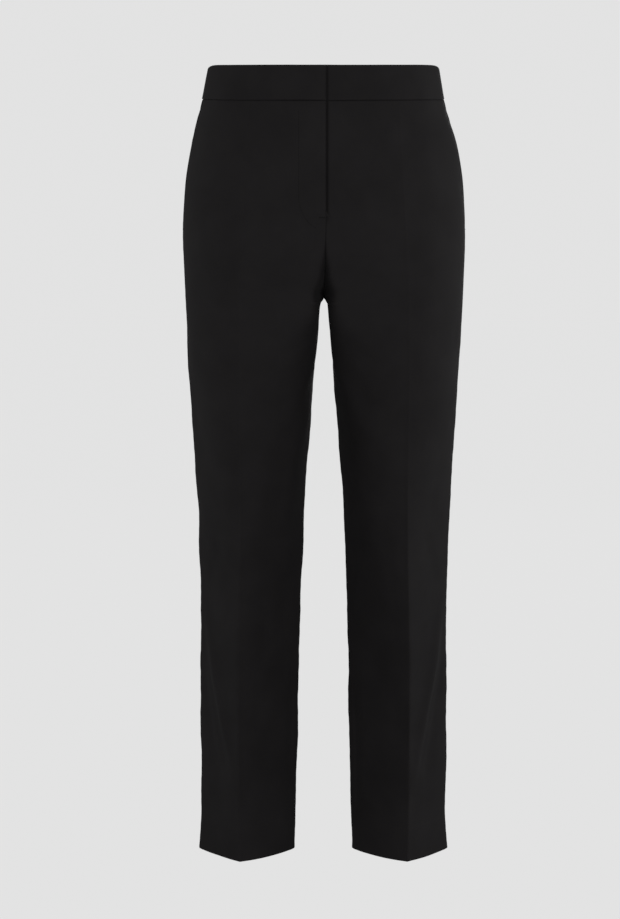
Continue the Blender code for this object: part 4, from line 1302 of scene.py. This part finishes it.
HOOK_TOP, HOOK_THICK, STRIP_SHARP_FROM = 17.0, 0.4, 50
HOOK_OUTSIDE = ((-24, -0.7), (-11, -0.7), (-10.4, -1.1), (-10.4, -2.2), (-11, -2.6), (-17, -2.6))
HOOK_INSIDE = ((-24, -1.1), (-11.4, -1.1), (-11, -1.3), (-11, -2.0), (-11.4, -2.2), (-17, -2.2))
BAR_X, BAR_HALF, BAR_THICK = -14.0, 0.8, 0.5
BAR_PROFILE = ((13, -2.2), (14.6, -2.2), (16, -1.4), (26, -1.4), (27.4, -2.2), (29, -2.2))

# Columns across each strip, and how much its rims round off there.
HOOK_ACROSS = np.array([0.0, 0.25, 0.7, 4.0, 7.3, 7.75, 8.0])
HOOK_RIM = np.array([0.14, 0.04, 0.0, 0.0, 0.0, 0.04, 0.14])
BAR_ACROSS = BAR_HALF * np.array([-1.0, -0.85, -0.5, 0.0, 0.5, 0.85, 1.0])
BAR_RIM = np.array([0.17, 0.06, 0.0, 0.0, 0.0, 0.06, 0.17])


def smoothed(path, rounds=3):
    """A bent line with its corners cut until it is smooth, and its ends kept."""
    path = np.array(path, float)
    for _ in range(rounds):
        near = 0.75 * path[:-1] + 0.25 * path[1:]
        far = 0.25 * path[:-1] + 0.75 * path[1:]
        between_ends = np.stack([near, far], axis=1).reshape(-1, 2)
        path = np.concatenate([path[:1], between_ends[1:-1], path[-1:]])
    return path


def stamped(name, outer, inner, node):
    """A stamped strip between two grids of points."""
    piece = closed_shell(name, outer, inner, outer[..., 0], outer[..., 2], NICKEL)
    piece.data.set_sharp_from_angle(angle=math.radians(STRIP_SHARP_FROM))
    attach(piece, "root")
    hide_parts(node)


hook_lines = smoothed(HOOK_OUTSIDE), smoothed(HOOK_INSIDE)
hook_middle = (hook_lines[0] + hook_lines[1]) / 2
hook_faces = []
for line in hook_lines:
    rounding = (hook_middle - line)[:, None] / (HOOK_THICK / 2) * HOOK_RIM[None, :, None]
    across = line[:, None] + rounding
    hook_faces.append(at_fly(across[..., 0], (HOOK_TOP + HOOK_ACROSS)[None], across[..., 1]))
stamped("waist_hook_metal", *hook_faces, "waist_hook")

bar_line = smoothed(BAR_PROFILE)
bar_lifts = bar_line[:, 1:] - BAR_RIM[None], bar_line[:, 1:] - BAR_THICK + BAR_RIM[None]
bar_faces = [at_fly((BAR_X + BAR_ACROSS)[None], bar_line[:, :1], lift) for lift in bar_lifts]
stamped("waist_bar_metal", *bar_faces, "waist_bar")

# ---------------------------------------------------------------------------------------------
# Sewing that shows. Black polyester thread: the curved line of stitches that holds the fly's
# folded edge, close bars of stitches where pockets and fly end, and the hems' slanted stitches.
# ---------------------------------------------------------------------------------------------

THREAD_WIDTH, THREAD_HIGH = 0.5, 0.34
STITCH, STITCH_GAP = 2.3, 0.7
FLY_STITCH_X, FLY_STITCH_TURN, FLY_STITCH_END, FLY_STITCH_LIFT = -31.0, 152.0, 192.0, 0.05
FLY_STITCH_POINTS = 60
TACK_LENGTH, TACK_WIDE, TACK_PITCH = 7.0, 2.0, 0.5
POCKET_TACKS, FLY_TACK = (WAIST_SEAM + 5, WAIST_SEAM + POCKET_LENGTH - 4), FLY_END - 1
TACK_FROM_EDGE, FLY_TACK_FROM_EDGE, POCKET_TACK_LIFT, FLY_TACK_LIFT = 1.0, 1.2, 0.2, 0.1
HEM_STITCH, HEM_STITCH_GAP, HEM_STITCH_SLANT, HEM_STITCH_DEPTH = 6.0, 7.5, 0.55, 0.3
HEM_STITCH_LINE, HEM_STITCH_SPANS = HEM_TOP - 1, ((0.03, 1.97), (2.03, 3.97))

# How far apart the places are that give directions on the garment: out of it, and round it.
OUT_STEP, ROUND_STEP = 0.5, 0.004


def twisted_thread():
    """Black spun polyester thread: two twisted plies, dull and a little darker than the cloth."""
    finish = [("Roughness", 0.85), ("Specular IOR Level", 0.15)]
    material, tree, surface = new_material("spun_polyester_thread", finish)
    place = add_node(tree, "ShaderNodeTexCoord").outputs["Object"]
    plies = add_node(
        tree, "ShaderNodeTexWave", [("bands_direction", "DIAGONAL")],
        [("Scale", 420.0), ("Distortion", 1.0)], [("Vector", place)],
    )
    shades = add_node(tree, "ShaderNodeValToRGB", (), (), [("Fac", plies.outputs["Fac"])])
    shades.color_ramp.elements[0].color = linear("#0c0b0c")
    shades.color_ramp.elements[1].color = linear("#171617")
    tree.links.new(shades.outputs["Color"], surface.inputs["Base Color"])
    return material


THREAD = twisted_thread()
STITCH_TREE = shape_row_tree(
    "stitches", "GeometryNodeMeshUVSphere", [("Segments", 6), ("Rings", 4), ("Radius", 0.5)]
)


def garment_axes(side, turn, below, lift):
    """Places on the garment, and the directions round it, down it and out of it there."""
    here = on_garment(side, turn, below, lift)
    out = unit(on_garment(side, turn, below, lift + OUT_STEP) - here)
    round_it = unit(on_garment(side, turn + ROUND_STEP, below, lift) - here)
    return here, round_it, unit(np.cross(round_it, out)), out


def sewn(name, places, along, outward, length, width=THREAD_WIDTH):
    """A row of stitches as a piece."""
    row = shape_row(
        name, STITCH_TREE, places, along, outward, (length, width, THREAD_HIGH), THREAD
    )
    row.data.shade_smooth()
    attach(row, "root")


# The fly's line runs straight down, then swings in to the middle on a quarter of an oval.
down = np.linspace(WAIST_SEAM + 2, FLY_STITCH_TURN, FLY_STITCH_POINTS)
swing = np.linspace(0, math.pi / 2, FLY_STITCH_POINTS)[1:]
path_x = FLY_STITCH_X * np.concatenate([np.ones(FLY_STITCH_POINTS), np.cos(swing)])
path_below = np.concatenate(
    [down, FLY_STITCH_TURN + (FLY_STITCH_END - FLY_STITCH_TURN) * np.sin(swing)]
)
run = np.concatenate([[0], np.cumsum(np.hypot(np.diff(path_x), np.diff(path_below)))])
marks = np.arange(STITCH, run[-1] - STITCH, STITCH + STITCH_GAP)
stitch_x, stitch_below = np.interp(marks, run, path_x), np.interp(marks, run, path_below)
ahead_x, ahead_below = np.interp(marks + 1, run, path_x), np.interp(marks + 1, run, path_below)
fly_places = at_fly(stitch_x, stitch_below, FLY_STITCH_LIFT)
fly_ahead = at_fly(ahead_x, ahead_below, FLY_STITCH_LIFT)
fly_above = at_fly(stitch_x, stitch_below, FLY_STITCH_LIFT + 1)
fly_along, fly_out = unit(fly_ahead - fly_places), unit(fly_above - fly_places)
sewn("fly_stitching", fly_places, fly_along, fly_out, STITCH)

# The bars: at both ends of each pocket mouth, and at the end of the fly.
tacks = []
tack_steps = np.arange(0, TACK_LENGTH, TACK_PITCH)
for side in (-1, 1):
    for tack_below in POCKET_TACKS:
        mouth_arc = read_form(FORM_ARC, 2.0, tack_below) - pocket_slant(tack_below)
        for step in tack_steps:
            turn = turn_at_arc(mouth_arc - TACK_FROM_EDGE - step, tack_below)
            place, _, down_it, out = garment_axes(side, turn, tack_below, POCKET_TACK_LIFT)
            tacks.append((place, down_it, out))
for x in -FLY_TACK_FROM_EDGE - tack_steps:
    place = at_fly(x, FLY_TACK, FLY_TACK_LIFT)
    down_it = unit(at_fly(x, FLY_TACK + 1, FLY_TACK_LIFT) - place)
    tacks.append((place, down_it, unit(at_fly(x, FLY_TACK, FLY_TACK_LIFT + 1) - place)))
sewn("bar_tacks", *(np.array(column) for column in zip(*tacks)), TACK_WIDE)

# The hems' stitches lie inside each leg, on the front and on the back, between the seams.
hem_rows = []
for side in (-1, 1):
    for first, last in HEM_STITCH_SPANS:
        ends = read_form(FORM_ARC, (first, last), HEM_TOP)
        arcs = np.arange(*ends, HEM_STITCH_GAP)
        turns = turn_at_arc(arcs, HEM_TOP)
        crease, half = (first + last) / 2, (last - first) / 2
        from_crease = np.abs(arcs - read_form(FORM_ARC, crease, HEM_TOP))
        across = np.abs(turns - crease) / half
        lift = crease_height(from_crease, across, HEM_TOP) - CLOTH - HEM_STITCH_DEPTH
        place, round_it, down_it, out = garment_axes(side, turns, HEM_STITCH_LINE, lift)
        hem_rows.append((place, unit(round_it + HEM_STITCH_SLANT * down_it), -out))
sewn("hem_stitching", *(np.concatenate(column) for column in zip(*hem_rows)), HEM_STITCH)

# ---------------------------------------------------------------------------------------------
# The studio: a pale floor well below the hems, the same pale grey all round, and soft lights
# high on both sides. The camera stands in front, a little above the middle.
# ---------------------------------------------------------------------------------------------

STUDIO_GREY = "#e3e3e3"
ROOM_LIGHT = 0.16
FLOOR_DROP = 0.16
ROOM_RADIUS = 9.0
ROOM_SIDES, ROOM_LEVELS = 96, 24
LIGHTS_AIM = (0.0, 0.0, -0.45)
CAMERA_PLACE = (-0.0168, -3.3456, 0.0)
CAMERA_PITCH = 8.144
CAMERA_LENS, CAMERA_SENSOR = 108.07, 36.0

world = bpy.data.worlds.new("room_light")
world.use_nodes = True
world.node_tree.nodes["Background"].inputs["Color"].default_value = linear("#ffffff")
world.node_tree.nodes["Background"].inputs["Strength"].default_value = ROOM_LIGHT
bpy.context.scene.world = world

paper_finish = [
    ("Base Color", linear("#101010")), ("Roughness", 1.0), ("Specular IOR Level", 0.0),
    ("Emission Color", linear(STUDIO_GREY)), ("Emission Strength", 0.995),
]
paper = new_material("pale_studio_paper", paper_finish)[0]

floor_z = cad_box[0].z - FLOOR_DROP
room = bmesh.new()
around = [2 * math.pi * k / ROOM_SIDES for k in range(ROOM_SIDES)]
levels = []
for k in range(ROOM_LEVELS):
    up = math.pi / 2 * k / ROOM_LEVELS
    wide, high = ROOM_RADIUS * math.cos(up), floor_z + ROOM_RADIUS * math.sin(up)
    levels.append([room.verts.new((wide * math.cos(a), wide * math.sin(a), high)) for a in around])
room.faces.new(levels[0])
for low, high in zip(levels, levels[1:]):
    for k in range(ROOM_SIDES):
        room.faces.new([low[k], high[k], high[k - 1], low[k - 1]])
room.faces.new(levels[-1][::-1])
room_mesh = bpy.data.meshes.new("studio_room")
room.to_mesh(room_mesh)
room.free()
room_mesh.materials.append(paper)
studio = add_object("studio_room", room_mesh)
studio.visible_diffuse = False
studio.visible_glossy = False
studio.visible_shadow = False

Softbox = namedtuple("Softbox", "name place size power")
SOFTBOXES = [
    Softbox("front_softbox", (0.35, -3.6, 0.25), 2.0, 56.0),
    Softbox("left_softbox", (2.5, 0.35, 0.1), 1.5, 17.5),
    Softbox("right_softbox", (-2.5, 0.35, 0.1), 1.5, 10.8),
    Softbox("back_softbox", (0.4, 3.4, 0.6), 2.2, 56.0),
]
for box in SOFTBOXES:
    lamp = bpy.data.lights.new(box.name, "AREA")
    lamp.shape, lamp.size, lamp.energy = "DISK", box.size, box.power
    stand = add_object(box.name, lamp)
    stand.location = box.place
    aim = np.array(box.place) - LIGHTS_AIM
    stand.rotation_euler = (
        math.atan2(math.hypot(aim[0], aim[1]), aim[2]),
        0.0,
        math.atan2(aim[1], aim[0]) + math.pi / 2,
    )
    stand.visible_camera = False

camera = add_object("camera", bpy.data.cameras.new("camera"))
camera.location = CAMERA_PLACE
camera.rotation_euler = (math.radians(90 - CAMERA_PITCH), 0.0, 0.0)
camera.data.lens = CAMERA_LENS
camera.data.sensor_width = CAMERA_SENSOR
bpy.context.scene.camera = camera
bpy.context.scene.view_settings.view_transform = "Standard"
